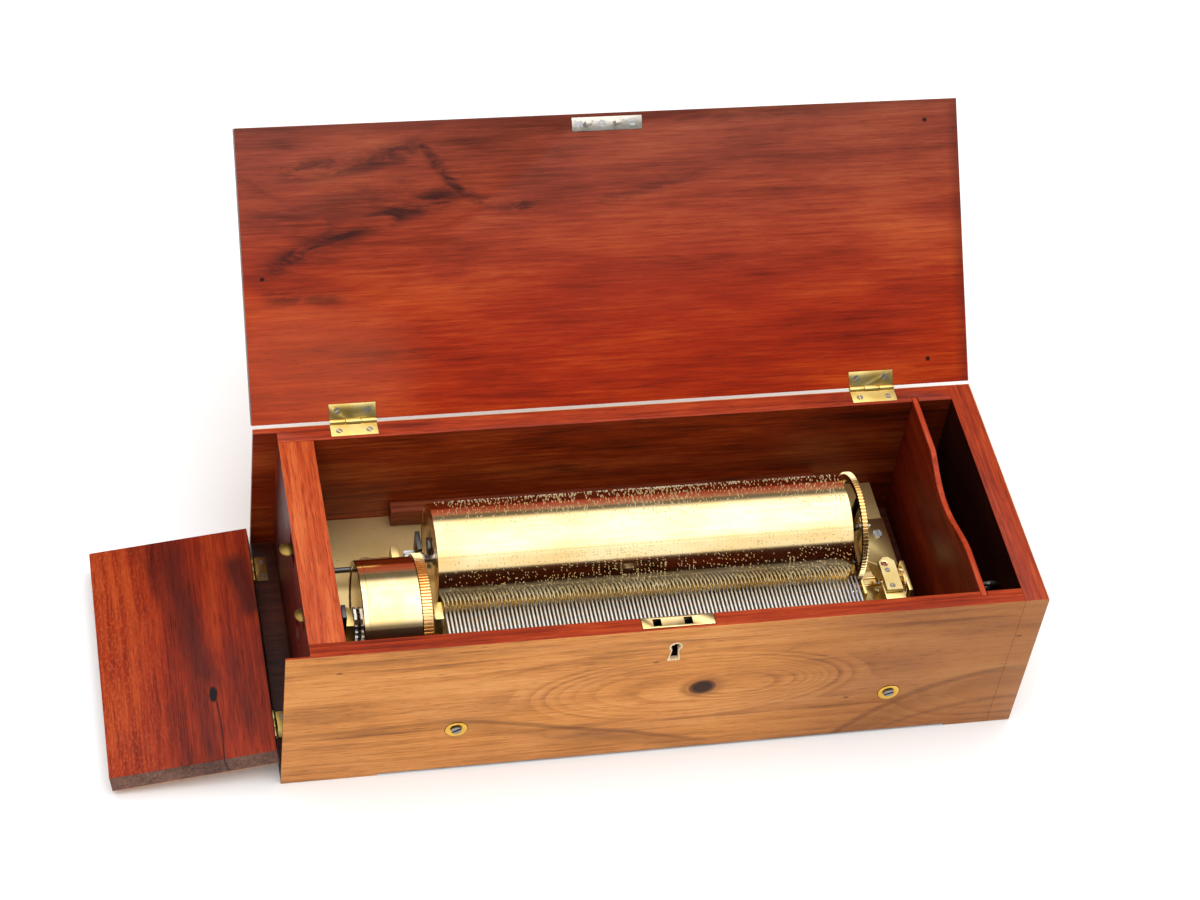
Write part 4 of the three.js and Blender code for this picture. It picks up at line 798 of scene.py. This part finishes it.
def iron_look():
    look = Look("key_iron")
    spot = look.spot()
    forge = look.noise(look.stretched(spot, 420, 420, 420), 4.0, 0.6)
    worn = look.rise(forge, 0.5, 0.7)
    colour = look.mix(tone(58, 54, 52), tone(142, 138, 132), worn)
    return look.finish(
        Base_Color=colour, Metallic=0.85, Roughness=0.42 - worn * 0.14, Normal=look.bump(forge, 0.25, 0.12),
    )


# Finishes used by the pieces

POLISHED = brass("polished_brass")
DRUM_BRASS = brass(
    "drum_brass", rough=0.13, marks=BARREL_AXIS, pale=(240, 216, 170), deep=(226, 194, 134), scratch=0.04,
)
WHEEL_BRASS = brass("wheel_brass", rough=0.2, marks=BARREL_AXIS, pale=(244, 210, 152), deep=(228, 182, 118))
TRAIN_BRASS = brass("train_brass", rough=0.2, marks=CYLINDER_AXIS)
HINGE_BRASS = brass("hinge_brass", rough=0.32, pale=(230, 206, 136), deep=(206, 172, 92), worn=0.6)
FRAME_BRASS = brass("frame_brass", rough=0.3, pale=(236, 214, 154), deep=(218, 188, 116), worn=0.3)
DULL_BRASS = brass("dull_brass", rough=0.5, pale=(120, 96, 58), deep=(84, 62, 34), worn=0.6)
TAB_BRASS = brass("tab_brass", rough=0.38, pale=(160, 134, 74), deep=(118, 92, 44), worn=0.8)
BED_BRASS = bedplate_brass()
COMB_STEEL = steel("comb_steel", (214, 216, 220), rough=0.42, grain=(2600, 200, 2600))
BRIGHT_STEEL = steel("bright_steel", (214, 216, 220), rough=0.32)
PIN_STEEL = steel("pin_steel", (240, 230, 206), rough=0.4, rust=0.0)
DARK_STEEL = steel("dark_steel", (92, 90, 90), rough=0.36, rust=0.4)
SCREW_STEEL = steel("screw_steel", (150, 150, 150), rough=0.3, rust=0.3)
IRON = iron_look()
BONE = bone_look()
RUBY = ruby_look()


# Small shared pieces

def screw(form, centre, axis_matrix, radius, proud=0.25, slot=0.16, turn=0.0, sunk=0.5):
    """A slotted screw head whose top stands proud of a surface; its two halves leave the slot open."""
    head = Form()
    half_slot = radius * slot
    depth = min(radius * 0.3, sunk + proud - 0.1)
    head.prism(circle(radius, 28), -sunk, sunk + proud - depth, "z")
    start = math.asin(half_slot / radius)
    for side in (0, 1):
        arc = circle(radius, 16, start=start + side * math.pi, sweep=math.pi - 2 * start)
        head.prism(arc, proud - depth - 0.02, depth + 0.02, "z", chamfer=min(0.12, radius * 0.08))
    head.place(Matrix.Rotation(turn, 4, "Z"))
    head.place(Matrix.Translation(centre) @ axis_matrix)
    form.add(head)


UP = Matrix.Identity(4)
DOWN = Matrix.Rotation(math.pi, 4, "X")
TO_FRONT = Matrix.Rotation(math.pi / 2, 4, "X")


def screws(name, places, axis_matrix, radius, body, look=SCREW_STEEL, frame_matrix=UP, proud=0.2):
    """A set of slotted screws on one surface, each turned as a hand left it."""
    rng = random.Random(name)
    form = Form()
    for place in places:
        screw(form, place, axis_matrix, radius, proud=proud, turn=rng.uniform(0, math.pi))
    settle(form.place(frame_matrix), name, look, body)


# Case

dressed("front_wall", front_look(), 0.2)
dressed("back_wall", rim_and_inside("back_board", "xzy", (190, CASE.y, 60), 1, BACK_TONES), 0.35)
dressed("right_wall", rim_and_inside("right_board", "yzx", (CASE.x, 75, 60), 0, RIGHT_SHADED_TONES, True), 0.2)
dressed("left_partition", partition_look(), 0.35)
dressed("key_divider", divider_look(), 0.5, shortest=0.3)
DARK_TONES = (SHADE, tone(52, 18, 9), tone(84, 34, 16))
BASE_LOOK = plain_timber("base_timber", "xyz", (190, 75, 10), DARK_TONES)
for node in ("base_board", "rail_front", "rail_back", "rail_right"):
    dressed(node, BASE_LOOK, 0.3)
BATTEN_TONES = (tone(58, 20, 10), tone(112, 48, 26), tone(150, 78, 44))
dressed("rear_batten", plain_timber("batten_timber", "xzy", (190, 130, 40), BATTEN_TONES), 0.5)
dressed("lid_panel", lid_look(), 0.6)
dressed("end_flap", flap_look(), 0.55)

dressed("lock_case", brass("lock_brass", rough=0.2, dark_below=CASE.z - 2.2), 0.15)
kept("lock_bolt", DARK_STEEL)
dressed("keyhole_lining", BONE, 0.2, shortest=0.3)

for side in ("left", "right"):
    low, high = span("case_washer_" + side)
    middle = (low + high) / 2
    ring = (high.x - low.x) / 2
    screw_end = span("bedplate_screw_" + side)[1].y
    head = 2.7
    seat = low.y
    form = Form().lathe(
        [(high.y, ring), (seat + 0.25, ring), (seat, ring - 0.3), (seat, head + 1.3),
         (seat + 0.35, head + 0.5), (seat + 0.5, 1.9), (high.y, 1.9)],
        (middle.x, 0, middle.z), "y", 56, hollow=True,
    )
    ring_brass = brass(f"washer_{side}_brass", rough=0.18, pale=(238, 206, 110), deep=(216, 166, 62))
    settle(form, f"washer_{side}_turned", ring_brass, "case", [f"case_washer_{side}"])
    form = Form().prism(circle(1.7, 16), seat + 0.2, screw_end - seat - 0.2, "y", (middle.x, 0, middle.z))
    turn = {"left": 0.5, "right": 0.35}[side]
    screw(form, Vector((middle.x, seat, middle.z)), TO_FRONT, head, proud=0.55, turn=turn, sunk=0.3)
    settle(form, f"bedplate_screw_{side}_slotted", SCREW_STEEL, "case", [f"bedplate_screw_{side}"])


# Hinges, each leaf with its two screws

LID_LEAF_INSET, CASE_SCREW_BACK, LID_SCREW_BACK = 4.3, 4.9, 5.8
for side in ("left", "right"):
    low, high = span(f"lid_hinge_{side}_case_leaf")
    dressed(f"lid_hinge_{side}_case_leaf", HINGE_BRASS, 0.12, shortest=0.5)
    dressed(f"lid_hinge_{side}_lid_leaf", HINGE_BRASS, 0.12, shortest=0.5)
    xs = [low.x + LID_LEAF_INSET, high.x - LID_LEAF_INSET]
    case_places = [Vector((x, CASE.y - CASE_SCREW_BACK, CASE.z)) for x in xs]
    screws(f"lid_hinge_{side}_case_screws", case_places, UP, 1.75, "case", proud=0.1)
    lid_places = [Vector((x, -LID_SCREW_BACK, LID_LINE.z - CASE.z)) for x in xs]
    screws(f"lid_hinge_{side}_lid_screws", lid_places, DOWN, 1.75, "lid", frame_matrix=LID, proud=0.1)

FLAP_LEAF_INSET, CASE_SCREW_IN, FLAP_SCREW_IN = 3.4, 4.2, 4.7
for side in ("front", "rear"):
    low, high = span(f"flap_hinge_{side}_case_leaf")
    dressed(f"flap_hinge_{side}_case_leaf", HINGE_BRASS, 0.1, shortest=0.5)
    dressed(f"flap_hinge_{side}_flap_leaf", HINGE_BRASS, 0.1, shortest=0.5)
    ys = [low.y + FLAP_LEAF_INSET, high.y - FLAP_LEAF_INSET]
    leaf_top = FLAP_LINE.z - 0.15
    case_places = [Vector((CASE_SCREW_IN, y, leaf_top)) for y in ys]
    screws(f"flap_hinge_{side}_case_screws", case_places, UP, 1.35, "case", proud=0.15)
    flap_places = [Vector((FLAP_SCREW_IN, y, 0.15)) for y in ys]
    screws(f"flap_hinge_{side}_flap_screws", flap_places, DOWN, 1.35, "flap", frame_matrix=FLAP, proud=0.1)

# Catch plate in the lid: its three screws stand between and beside the two hooks
lock_low, lock_high = span("lock_case")
lock_middle = (lock_low.x + lock_high.x) / 2
CATCH_STEEL = steel("catch_steel", (220, 212, 200), rough=0.36, grain=(300, 2400, 2400), rust=0.5)
dressed("lid_catch_plate", CATCH_STEEL, 0.12, shortest=0.4)
catch_y = (lock_low.y + lock_high.y) / 2 - LID_LINE.y
catch_places = [Vector((lock_middle + x, catch_y, LID_LINE.z - CASE.z)) for x in (-14.6, -2.6, 13.4)]
screws("lid_catch_screws", catch_places, DOWN, 1.9, "lid", frame_matrix=LID, look=BRIGHT_STEEL)


# Movement: bedplate, comb and bearings

dressed("bedplate", BED_BRASS, 0.4)
dressed("comb_base", DULL_BRASS, 0.4)
for side in ("left", "right"):
    for piece in ("barrel_bracket", "cylinder_bearing"):
        dressed(f"{piece}_{side}", FRAME_BRASS, 0.4)

comb_low, comb_high = span("comb")
TEETH = 104
GAP_SHARE = 0.42
tooth_pitch = (comb_high.x - comb_low.x) / TEETH
bass_root, treble_root = 31.0, 38.0
comb_outline = [
    (comb_low.x, comb_low.y), (comb_high.x, comb_low.y), (comb_high.x, treble_root), (comb_low.x, bass_root),
]
comb_form = Form().prism(comb_outline, comb_low.z, comb_high.z - comb_low.z, "z", chamfer=0.25)
for i in range(TEETH):
    middle = comb_low.x + (i + 0.5) * tooth_pitch
    root = bass_root + (treble_root - bass_root) * (i + 0.5) / TEETH
    half = tooth_pitch * (1 - GAP_SHARE) / 2
    top = comb_high.z
    sections = [
        (root - 0.6, half, 0.0, 1.9), (root + 2.0, half, 0.1, 1.5),
        (comb_high.y - 4.2, half * 0.94, 0.1, 1.1), (comb_high.y - 3.4, half * 0.62, 0.15, 0.9),
        (comb_high.y, half * 0.5, 0.2, 0.75),
    ]  # along the tooth: Y, half width, drop of the top, thickness
    loops = []
    for y, wide, drop, thick in sections:
        crown = wide * 0.72
        loops.append([
            (middle - wide, y, top - drop - thick), (middle + wide, y, top - drop - thick),
            (middle + wide, y, top - drop - 0.22), (middle + crown, y, top - drop),
            (middle - crown, y, top - drop), (middle - wide, y, top - drop - 0.22),
        ])
    comb_form.rings(loops)
settle(comb_form, "comb_teeth", COMB_STEEL, "case", ["comb"], crease=28)
COMB_SCREWS, COMB_MARGIN, COMB_SCREW_ROW = 9, 9, 7.5
screw_step = (comb_high.x - comb_low.x - 2 * COMB_MARGIN) / (COMB_SCREWS - 1)
comb_screw_places = [
    Vector((comb_low.x + COMB_MARGIN + i * screw_step, comb_low.y + COMB_SCREW_ROW, comb_high.z))
    for i in range(COMB_SCREWS)
]
screws("comb_screws", comb_screw_places, UP, 3.1, "case", look=BRIGHT_STEEL, proud=1.2)

# Cylinder: a smooth shell, and its pins in rows that follow the comb's teeth
shell_low, shell_high = span("cylinder_shell")
cylinder_radius = (shell_high.z - shell_low.z) / 2
SHELL_WALL, SHELL_ARRIS = 1.2, 0.35
shell_inside, shell_edge = cylinder_radius - SHELL_WALL, cylinder_radius - SHELL_ARRIS
SHELL_LOOK = cylinder_brass(tooth_pitch)
shell_form = Form().lathe(
    [(shell_low.x, shell_inside), (shell_low.x, shell_edge), (shell_low.x + SHELL_ARRIS, cylinder_radius),
     (shell_high.x - SHELL_ARRIS, cylinder_radius), (shell_high.x, shell_edge), (shell_high.x, shell_inside)],
    (0, CYLINDER_AXIS.y, CYLINDER_AXIS.z), "x", 224, hollow=True,
)
shell_node = ["cylinder_shell"]
settle(shell_form, "cylinder_smooth_shell", SHELL_LOOK, "cylinder", shell_node, crease=30)


def arranged_pins(tunes=5, beats=60):
    """Places of the pins as (tooth, turn): basses, chords, runs, trills and filling notes, tune by tune."""
    rng = random.Random(1871)
    places = []
    for tune in range(tunes):
        track = (tune - (tunes - 1) / 2) / tunes * 0.8
        home = rng.uniform(0.50, 0.66)
        for beat in range(beats):
            turn = 0.25 + (beat / beats) * (FULL_TURN - 0.5)
            step = (FULL_TURN - 0.5) / beats
            home = min(0.86, max(0.38, home + rng.uniform(-0.05, 0.05)))
            bass = int(rng.uniform(0.02, 0.28) * TEETH)
            chosen = [(bass, 0.0), (bass + rng.choice((3, 5, 7)), 0.0)]
            chord = int(rng.uniform(0.25, 0.55) * TEETH)
            for pulse in (0.0, 0.5):
                for third in (0, 4, 7, 11)[: rng.randint(2, 4)]:
                    chosen.append((chord + third, pulse))
            notes = rng.choice((2, 3, 4, 4, 6, 8))
            lead = int(home * TEETH)
            slope = rng.choice((-2, -1, 1, 1, 2))
            for note in range(notes):
                chosen.append((lead + note * slope, note / notes))
                if rng.random() < 0.5:
                    chosen.append((lead + note * slope + rng.choice((5, 7, 12)), note / notes))
            if rng.random() < 0.25:
                chosen += [(lead + 14 + k % 2, k / 7) for k in range(7)]
            chosen += [(int(rng.uniform(0.0, 0.32) * TEETH), k / 4) for k in range(4)]
            chosen += [(int(rng.uniform(0.82, 1.0) * TEETH), k / 3) for k in range(3)]
            for tooth, pulse in chosen:
                if 0 <= tooth < TEETH:
                    places.append((tooth + track, turn + (pulse + rng.uniform(-0.03, 0.03)) * step))
    return places


PIN_RADIUS, PIN_SIDES, PIN_SUNK = 0.22, 5, 0.2
PIN_LENGTH = 0.5 + PIN_SUNK
pin_form = Form()
for tooth, turn in arranged_pins():
    x = comb_low.x + (tooth + 0.5) * tooth_pitch
    if not shell_low.x + 1 < x < shell_high.x - 1:
        continue
    outward = Vector((0, math.cos(turn), math.sin(turn)))
    around = Vector((0, -math.sin(turn), math.cos(turn)))
    foot = Vector((x, CYLINDER_AXIS.y, CYLINDER_AXIS.z)) + outward * (cylinder_radius - PIN_SUNK)
    sides = [Vector((a, 0, 0)) + around * b for a, b in circle(PIN_RADIUS, PIN_SIDES)]
    pin_form.rings([[foot + side for side in sides], [foot + outward * PIN_LENGTH + side for side in sides]])
settle(pin_form, "cylinder_pins", PIN_STEEL, "cylinder", crease=20)

dressed("cylinder_cap_left", TRAIN_BRASS, 0.2, shortest=0.5)
dressed("cylinder_cap_right", DULL_BRASS, 0.2, shortest=0.5)
train_low, train_high = span("cylinder_wheel")
RIM_DEPTH = 4.2
rim_inside = (train_high.z - train_low.z) / 2 - RIM_DEPTH
RIM_BRASS = brass("wheel_rim_brass", rough=0.2, marks=CYLINDER_AXIS, darker_within=rim_inside)
dressed("cylinder_wheel", RIM_BRASS, 0.15, shortest=0.5)
dressed("cylinder_arbor", BRIGHT_STEEL, 0.2, shortest=0.3)
dressed("cylinder_pinion", BRIGHT_STEEL, 0.12, shortest=0.3)
for node in ("drive_pin", "tune_snail"):
    dressed(node, DARK_STEEL, 0.12, shortest=0.3)

# Spring barrel: the drum with its lid let into the left end, and the great wheel
drum_low, drum_high = span("barrel_drum")
drum_radius = (drum_high.z - drum_low.z) / 2
drum_wall, drum_bore = 2.0, 3.4
left, right = drum_low.x, drum_high.x
drum_profile = [
    (left + drum_wall, drum_bore), (left, drum_bore), (left, drum_bore + 4), (left + 0.5, drum_bore + 4.4),
    (left + 0.5, drum_radius - 3.6), (left, drum_radius - 3.2), (left, drum_radius - 0.4),
    (left + 0.4, drum_radius), (left + 3.0, drum_radius), (left + 3.15, drum_radius - 0.15),
    (left + 3.3, drum_radius),
    (right, drum_radius), (right, drum_radius - drum_wall), (left + drum_wall, drum_radius - drum_wall),
]
drum_form = Form().lathe(drum_profile, (0, BARREL_AXIS.y, BARREL_AXIS.z), "x", 176, hollow=True)
settle(drum_form, "barrel_smooth_drum", DRUM_BRASS, "barrel", ["barrel_drum"], crease=40)

wheel_low, wheel_high = span("great_wheel")
wheel_tip = (wheel_high.z - wheel_low.z) / 2
WHEEL_TEETH = 120
MESH_ANGLE = math.atan2(CYLINDER_AXIS.z - BARREL_AXIS.z, CYLINDER_AXIS.y - BARREL_AXIS.y)
module = wheel_tip / (WHEEL_TEETH / 2 + 0.9)
flank = [(0.11, 0.86), (0.2, 0.35), (0.25, -0.4), (0.28, -1.15)]
tooth_form = [(-share, step) for share, step in reversed(flank)] + flank
wheel_outline = []
for i in range(WHEEL_TEETH):
    for share, step in tooth_form:
        angle = MESH_ANGLE + (i + share) * FULL_TURN / WHEEL_TEETH
        radius = module * (WHEEL_TEETH / 2 + step)
        wheel_outline.append((radius * math.cos(angle), radius * math.sin(angle)))
wheel_middle = (0, BARREL_AXIS.y, BARREL_AXIS.z)
wheel_width = wheel_high.x - wheel_low.x
wheel_form = Form().prism(wheel_outline, wheel_low.x, wheel_width, "x", wheel_middle, chamfer=0.12)
settle(wheel_form, "great_wheel_cut", WHEEL_BRASS, "barrel", ["great_wheel"], crease=30)
kept("mainspring", DARK_STEEL)
dressed("barrel_arbor", BRIGHT_STEEL, 0.25, shortest=0.3)
dressed("ratchet_wheel", BRIGHT_STEEL, 0.1, shortest=0.3)
dressed("click", BRIGHT_STEEL, 0.1, shortest=0.3)


# Governor: frame, cock with its end stone, wheels, endless screw and fly

dressed("governor_frame", FRAME_BRASS, 0.25, shortest=0.5)
for node in ("governor_first_wheel", "governor_second_wheel"):
    dressed(node, POLISHED, 0.06, shortest=0.2)

cock_low, cock_high = span("governor_cock")
cock_middle = (cock_low.x + cock_high.x) / 2
cock_shoulder, nose_half = cock_high.y - 3.2, 1.6
cock_outline = [
    (cock_low.x, cock_low.y), (cock_high.x, cock_low.y), (cock_high.x, cock_shoulder),
    (cock_middle + nose_half, cock_high.y), (cock_middle - nose_half, cock_high.y),
    (cock_low.x, cock_shoulder),
]
cock_form = Form().prism(cock_outline, cock_low.z, cock_high.z - cock_low.z, "z", chamfer=0.4)
settle(cock_form, "governor_cock_filed", FRAME_BRASS, "case", ["governor_cock"], crease=25)
stone_middle = (FLY_AXIS.x, FLY_AXIS.y, cock_high.z)
setting = Form().lathe(
    [(-0.3, 2.0), (0.12, 2.0), (0.2, 1.9), (0.05, 1.25), (-0.3, 1.25)], stone_middle, "z", 32, hollow=True,
)
settle(setting, "end_stone_setting", POLISHED, "case")
stone = Form().lathe([(-0.3, 1.28), (0, 1.28), (0.12, 1.0), (0.18, 0)], stone_middle, "z", 28)
settle(stone, "end_stone", RUBY, "case")
cock_screws = [
    Vector((FLY_AXIS.x + 0.4, FLY_AXIS.y - 4.4, cock_high.z)),
    Vector((FLY_AXIS.x + 0.6, cock_low.y + 3.2, cock_high.z)),
]
screws("cock_screws", cock_screws, UP, 1.45, "case", proud=0.3)
bearing_screw = Vector((327, 99.4, span("bedplate")[1].z + 3.0))
screws("bearing_screw", [bearing_screw], UP, 2.55, "case", look=BRIGHT_STEEL, proud=1.1)

screw_low, screw_high = span("endless_screw")
shaft_radius, core_radius, thread_radius = 0.7, 1.05, 1.7
thread_low, thread_high = 39.0, 44.2
worm_form = Form().lathe(
    [(screw_low.z, 0), (screw_low.z + 0.3, shaft_radius * 0.6), (screw_low.z + 0.8, shaft_radius),
     (thread_low - 0.3, shaft_radius), (thread_low, core_radius), (thread_high, core_radius),
     (thread_high + 0.3, shaft_radius), (screw_high.z - 0.5, shaft_radius), (screw_high.z, 0.25),
     (screw_high.z, 0)],
    (FLY_AXIS.x, FLY_AXIS.y, 0), "z", 20,
)
WORM_WHEEL_RADIUS, WORM_WHEEL_TEETH = 3.6, 24
worm_module = 2 * WORM_WHEEL_RADIUS / WORM_WHEEL_TEETH
thread_pitch = worm_module * math.pi
crest_reach = thread_radius - worm_module * 0.6
THREAD_STEPS, THREAD_TAPER = 24, 8
steps = int(((thread_high - thread_low) / thread_pitch - 0.5) * THREAD_STEPS)
loops = []
for i in range(steps + 1):
    angle = FULL_TURN * i / THREAD_STEPS
    z = thread_low + 0.2 + thread_pitch * i / THREAD_STEPS
    taper = min(1.0, i / THREAD_TAPER, (steps - i) / THREAD_TAPER)
    crest = 1.0 + (crest_reach - 1.0) * max(0.08, taper)
    out = Vector((math.cos(angle), math.sin(angle), 0))
    centre = Vector((FLY_AXIS.x, FLY_AXIS.y, z))
    section = [(0.95, -0.3), (crest, -0.12), (crest, 0.12), (0.95, 0.3)]
    loops.append([centre + out * reach + Vector((0, 0, rise)) for reach, rise in section])
worm_form.rings(loops)
settle(worm_form, "endless_screw_cut", BRIGHT_STEEL, "fly_arbor", ["endless_screw"], crease=35)

fly_low, fly_high = span("fly")
FLY_TURN = math.radians(135)
FLY_ROOT, FLY_REACH, FLY_HALF = 0.6, 9.0, 0.22
FLY_COLUMNS = 9
WAIST, SHOULDER, SHOULDER_DROP = 0.4, 0.7, 5.4  # where the wing narrows, as shares of its reach
fly_form = Form()
for side in (0, 1):
    loops = []
    for i in range(FLY_COLUMNS + 1):
        share = i / FLY_COLUMNS
        reach = FLY_ROOT + (FLY_REACH - FLY_ROOT) * share
        upper = fly_high.z - 0.5 * share - 0.6 * share * share
        if share < WAIST:
            lower = fly_low.z
        elif share < SHOULDER:
            drop = fly_high.z - SHOULDER_DROP - fly_low.z
            lower = fly_low.z + (share - WAIST) / (SHOULDER - WAIST) * drop
        else:
            lower = fly_high.z - SHOULDER_DROP + (share - SHOULDER) / (1 - SHOULDER) * 4.0
        curl = 0.9 * share * share
        section = [(-FLY_HALF, lower), (FLY_HALF, lower), (FLY_HALF, upper), (-FLY_HALF, upper)]
        loops.append([Vector((reach, curl + half, z)) for half, z in section])
    fly_form.add(Form().rings(loops).place(Matrix.Rotation(FLY_TURN + side * math.pi, 4, "Z")))
fly_form.lathe(
    [(fly_low.z, 0.75), (fly_low.z, 1.3), (fly_low.z + 0.2, 1.5),
     (fly_high.z - 0.2, 1.5), (fly_high.z, 1.3), (fly_high.z, 0.75)],
    (0, 0, 0), "z", 28, hollow=True,
)
fly_form.place(Matrix.Translation((FLY_AXIS.x, FLY_AXIS.y, 0)))
# the paler colour is partly painted light, for the light that the upturned wings catch
FLY_BRASS = brass("fly_brass", rough=0.5, pale=(252, 226, 150), deep=(240, 204, 120), metal=0.45)
settle(fly_form, "fly_wings", FLY_BRASS, "fly_arbor", ["fly"], crease=35)


# Levers, thumb tabs and key

for node in ("stop_lever", "change_lever"):
    dressed(node, DARK_STEEL, 0.2, shortest=0.5)
for node, body in (("stop_lever_tab", "stop_control"), ("change_lever_tab", "change_control")):
    low, high = span(node)
    middle = (low + high) / 2
    radius = (high.x - low.x) / 2
    form = Form().lathe(
        [(low.z, 0), (low.z, radius - 0.3), (low.z + 0.3, radius), (high.z - 0.35, radius),
         (high.z - 0.05, radius - 0.4), (high.z, 0)],
        (middle.x, middle.y, 0), "z", 44,
    )
    settle(form, node + "_turned", TAB_BRASS, body, [node])

BOW = Vector((358.55, 29.0, 76.0))
BASE_TOP = 14.1
KEY_TIP_Y = 62.0
lean = math.atan2(KEY_TIP_Y - BOW.y, BOW.z - BASE_TOP)
key_length = (BOW.z - BASE_TOP) / math.cos(lean) - 3.4 * math.tan(lean) - 0.3
ring_radius, wire = 6.3, 1.4
ring_loops = []
for x, z in circle(1, 48):
    out = Vector((x, 0, z))
    ring_loops.append([out * (ring_radius + a) + Vector((0, b, 0)) for a, b in circle(wire, 12)])
key_form = Form().rings(ring_loops, closed_round=True)
low_end = -key_length
key_form.lathe(
    [(low_end + 12, 2.0), (low_end + 17, 2.0), (-ring_radius - 4, 1.9), (-ring_radius - 2.2, 2.6),
     (-ring_radius - 1.4, 2.7), (-ring_radius + 0.6, 1.5)],
    (0, 0, 0), "z", 28,
)
SOCKET_HALF, SOCKET_SIDES = 2.4, 32
SOCKET_DEPTH, SOCKET_LENGTH, SOCKET_RADIUS = 11, 14.5, 3.4


def square_loop(z):
    """A square hole's edge, point for point against the round socket's."""
    edge = []
    for a, b in circle(1, SOCKET_SIDES):
        reach = SOCKET_HALF / max(abs(a), abs(b))
        edge.append(Vector((reach * a, reach * b, z)))
    return edge


def round_loop(z, radius):
    return [Vector((a, b, z)) for a, b in circle(radius, SOCKET_SIDES)]


key_form.rings([
    square_loop(low_end + SOCKET_DEPTH), square_loop(low_end), round_loop(low_end, SOCKET_RADIUS - 0.2),
    round_loop(low_end + 0.4, SOCKET_RADIUS), round_loop(low_end + SOCKET_LENGTH, SOCKET_RADIUS),
    round_loop(low_end + SOCKET_LENGTH + 1.5, 2.2),
])
key_form.place(Matrix.Translation(BOW) @ Matrix.Rotation(lean, 4, "X"))
settle(key_form, "winding_key_forged", IRON, "key", ["winding_key"], crease=35)


# Stage: floor, light and camera

floor_look = Look("floor")
floor_grain = floor_look.noise(floor_look.stretched(floor_look.spot(), 3, 3, 3), 2.0)
floor_colour = floor_look.mix((0.93, 0.93, 0.93, 1), (0.96, 0.96, 0.96, 1), floor_grain)
floor_material = floor_look.finish(Base_Color=floor_colour, Roughness=0.8, Specular_IOR_Level=0.2)
floor_mesh = bpy.data.meshes.new("floor")
FLOOR_HALF, FLOOR_DROP = 4, 0.0003
square = ((-1, -1), (1, -1), (1, 1), (-1, 1))
floor_corners = [(x * FLOOR_HALF, y * FLOOR_HALF, -FLOOR_DROP) for x, y in square]
floor_mesh.from_pydata(floor_corners, [], [(0, 1, 2, 3)])
floor = bpy.data.objects.new("floor", floor_mesh)
scene.collection.objects.link(floor)
floor_mesh.materials.append(floor_material)
floor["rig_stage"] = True

world = bpy.data.worlds.new("studio")
world.use_nodes = True
sky = Look.on(world.node_tree)
height = sky.parts(sky.node("TexCoord", output="Generated"))[2]
SKY_STOPS = (  # brightness by height: dark where the lid mirrors the room, bright overhead
    (0.0, 0.6), (0.12, 0.4), (0.3, 0.16), (0.68, 0.2), (0.79, 1.9), (0.83, 2.5), (0.86, 2.0), (0.92, 2.8),
    (0.94, 2.3), (1.0, 2.9),
)
BRIGHTEST = max(level for place, level in SKY_STOPS)
glow = sky.ramp(height, [(place, (level / BRIGHTEST,) * 3 + (1.0,)) for place, level in SKY_STOPS])
backdrop = sky.node("Background", None, {"Color": glow, "Strength": BRIGHTEST})
sky_end = sky.tree.nodes.new("ShaderNodeOutputWorld")
sky.tree.links.new(backdrop.socket, sky_end.inputs["Surface"])
scene.world = world


def softbox(name, place, target, size, power, mirrored_in=()):
    """A large soft lamp that looks at a point, with places in metres.

    It lights everything and is mirrored nowhere, or it is only mirrored in the pieces that are named.
    """
    lamp = bpy.data.lights.new(name, "AREA")
    lamp.shape = "RECTANGLE"
    lamp.size, lamp.size_y = size
    lamp.energy = power
    holder = bpy.data.objects.new(name, lamp)
    scene.collection.objects.link(holder)
    holder.visible_glossy = bool(mirrored_in)
    if mirrored_in:
        holder.visible_diffuse = False
        mirrors = bpy.data.collections.new(name + "_mirrors")
        for piece in mirrored_in:
            mirrors.objects.link(bpy.data.objects[piece])
        holder.light_linking.receiver_collection = mirrors
    holder.location = place
    holder.rotation_euler = (Vector(target) - Vector(place)).to_track_quat("-Z", "Y").to_euler()


BOX_MIDDLE, CYLINDER_MIDDLE = (0, 0, 0.05), (0, 0, 0.08)
softbox("overhead", (-0.15, -0.5, 1.45), BOX_MIDDLE, (1.6, 0.9), 3)
softbox("front_fill", (-0.5, -1.6, 0.6), BOX_MIDDLE, (1.2, 0.6), 8)
softbox("front_panel", (0.4, -1.66, 1.2), CYLINDER_MIDDLE, (3, 0.95), 10, ["cylinder_smooth_shell"])

camera_data = bpy.data.cameras.new("camera")
camera = bpy.data.objects.new("camera", camera_data)
scene.collection.objects.link(camera)
camera_data.sensor_width = 36
camera_data.lens = 85.6
look_right = Vector((0.9771275, -0.18457874, 0.10560557))
look_down = Vector((-0.06532354, -0.73312424, -0.67695028))
look_on = Vector((0.20237263, 0.65456821, -0.72841319))
turned = Matrix((look_right, -look_down, -look_on)).transposed().to_4x4()
camera.matrix_world = Matrix.Translation((-0.31051, -0.90704, 1.15701)) @ turned
camera_data.clip_start, camera_data.clip_end = 0.05, 20
scene.camera = camera
scene.view_settings.view_transform = "Standard"

low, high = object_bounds()
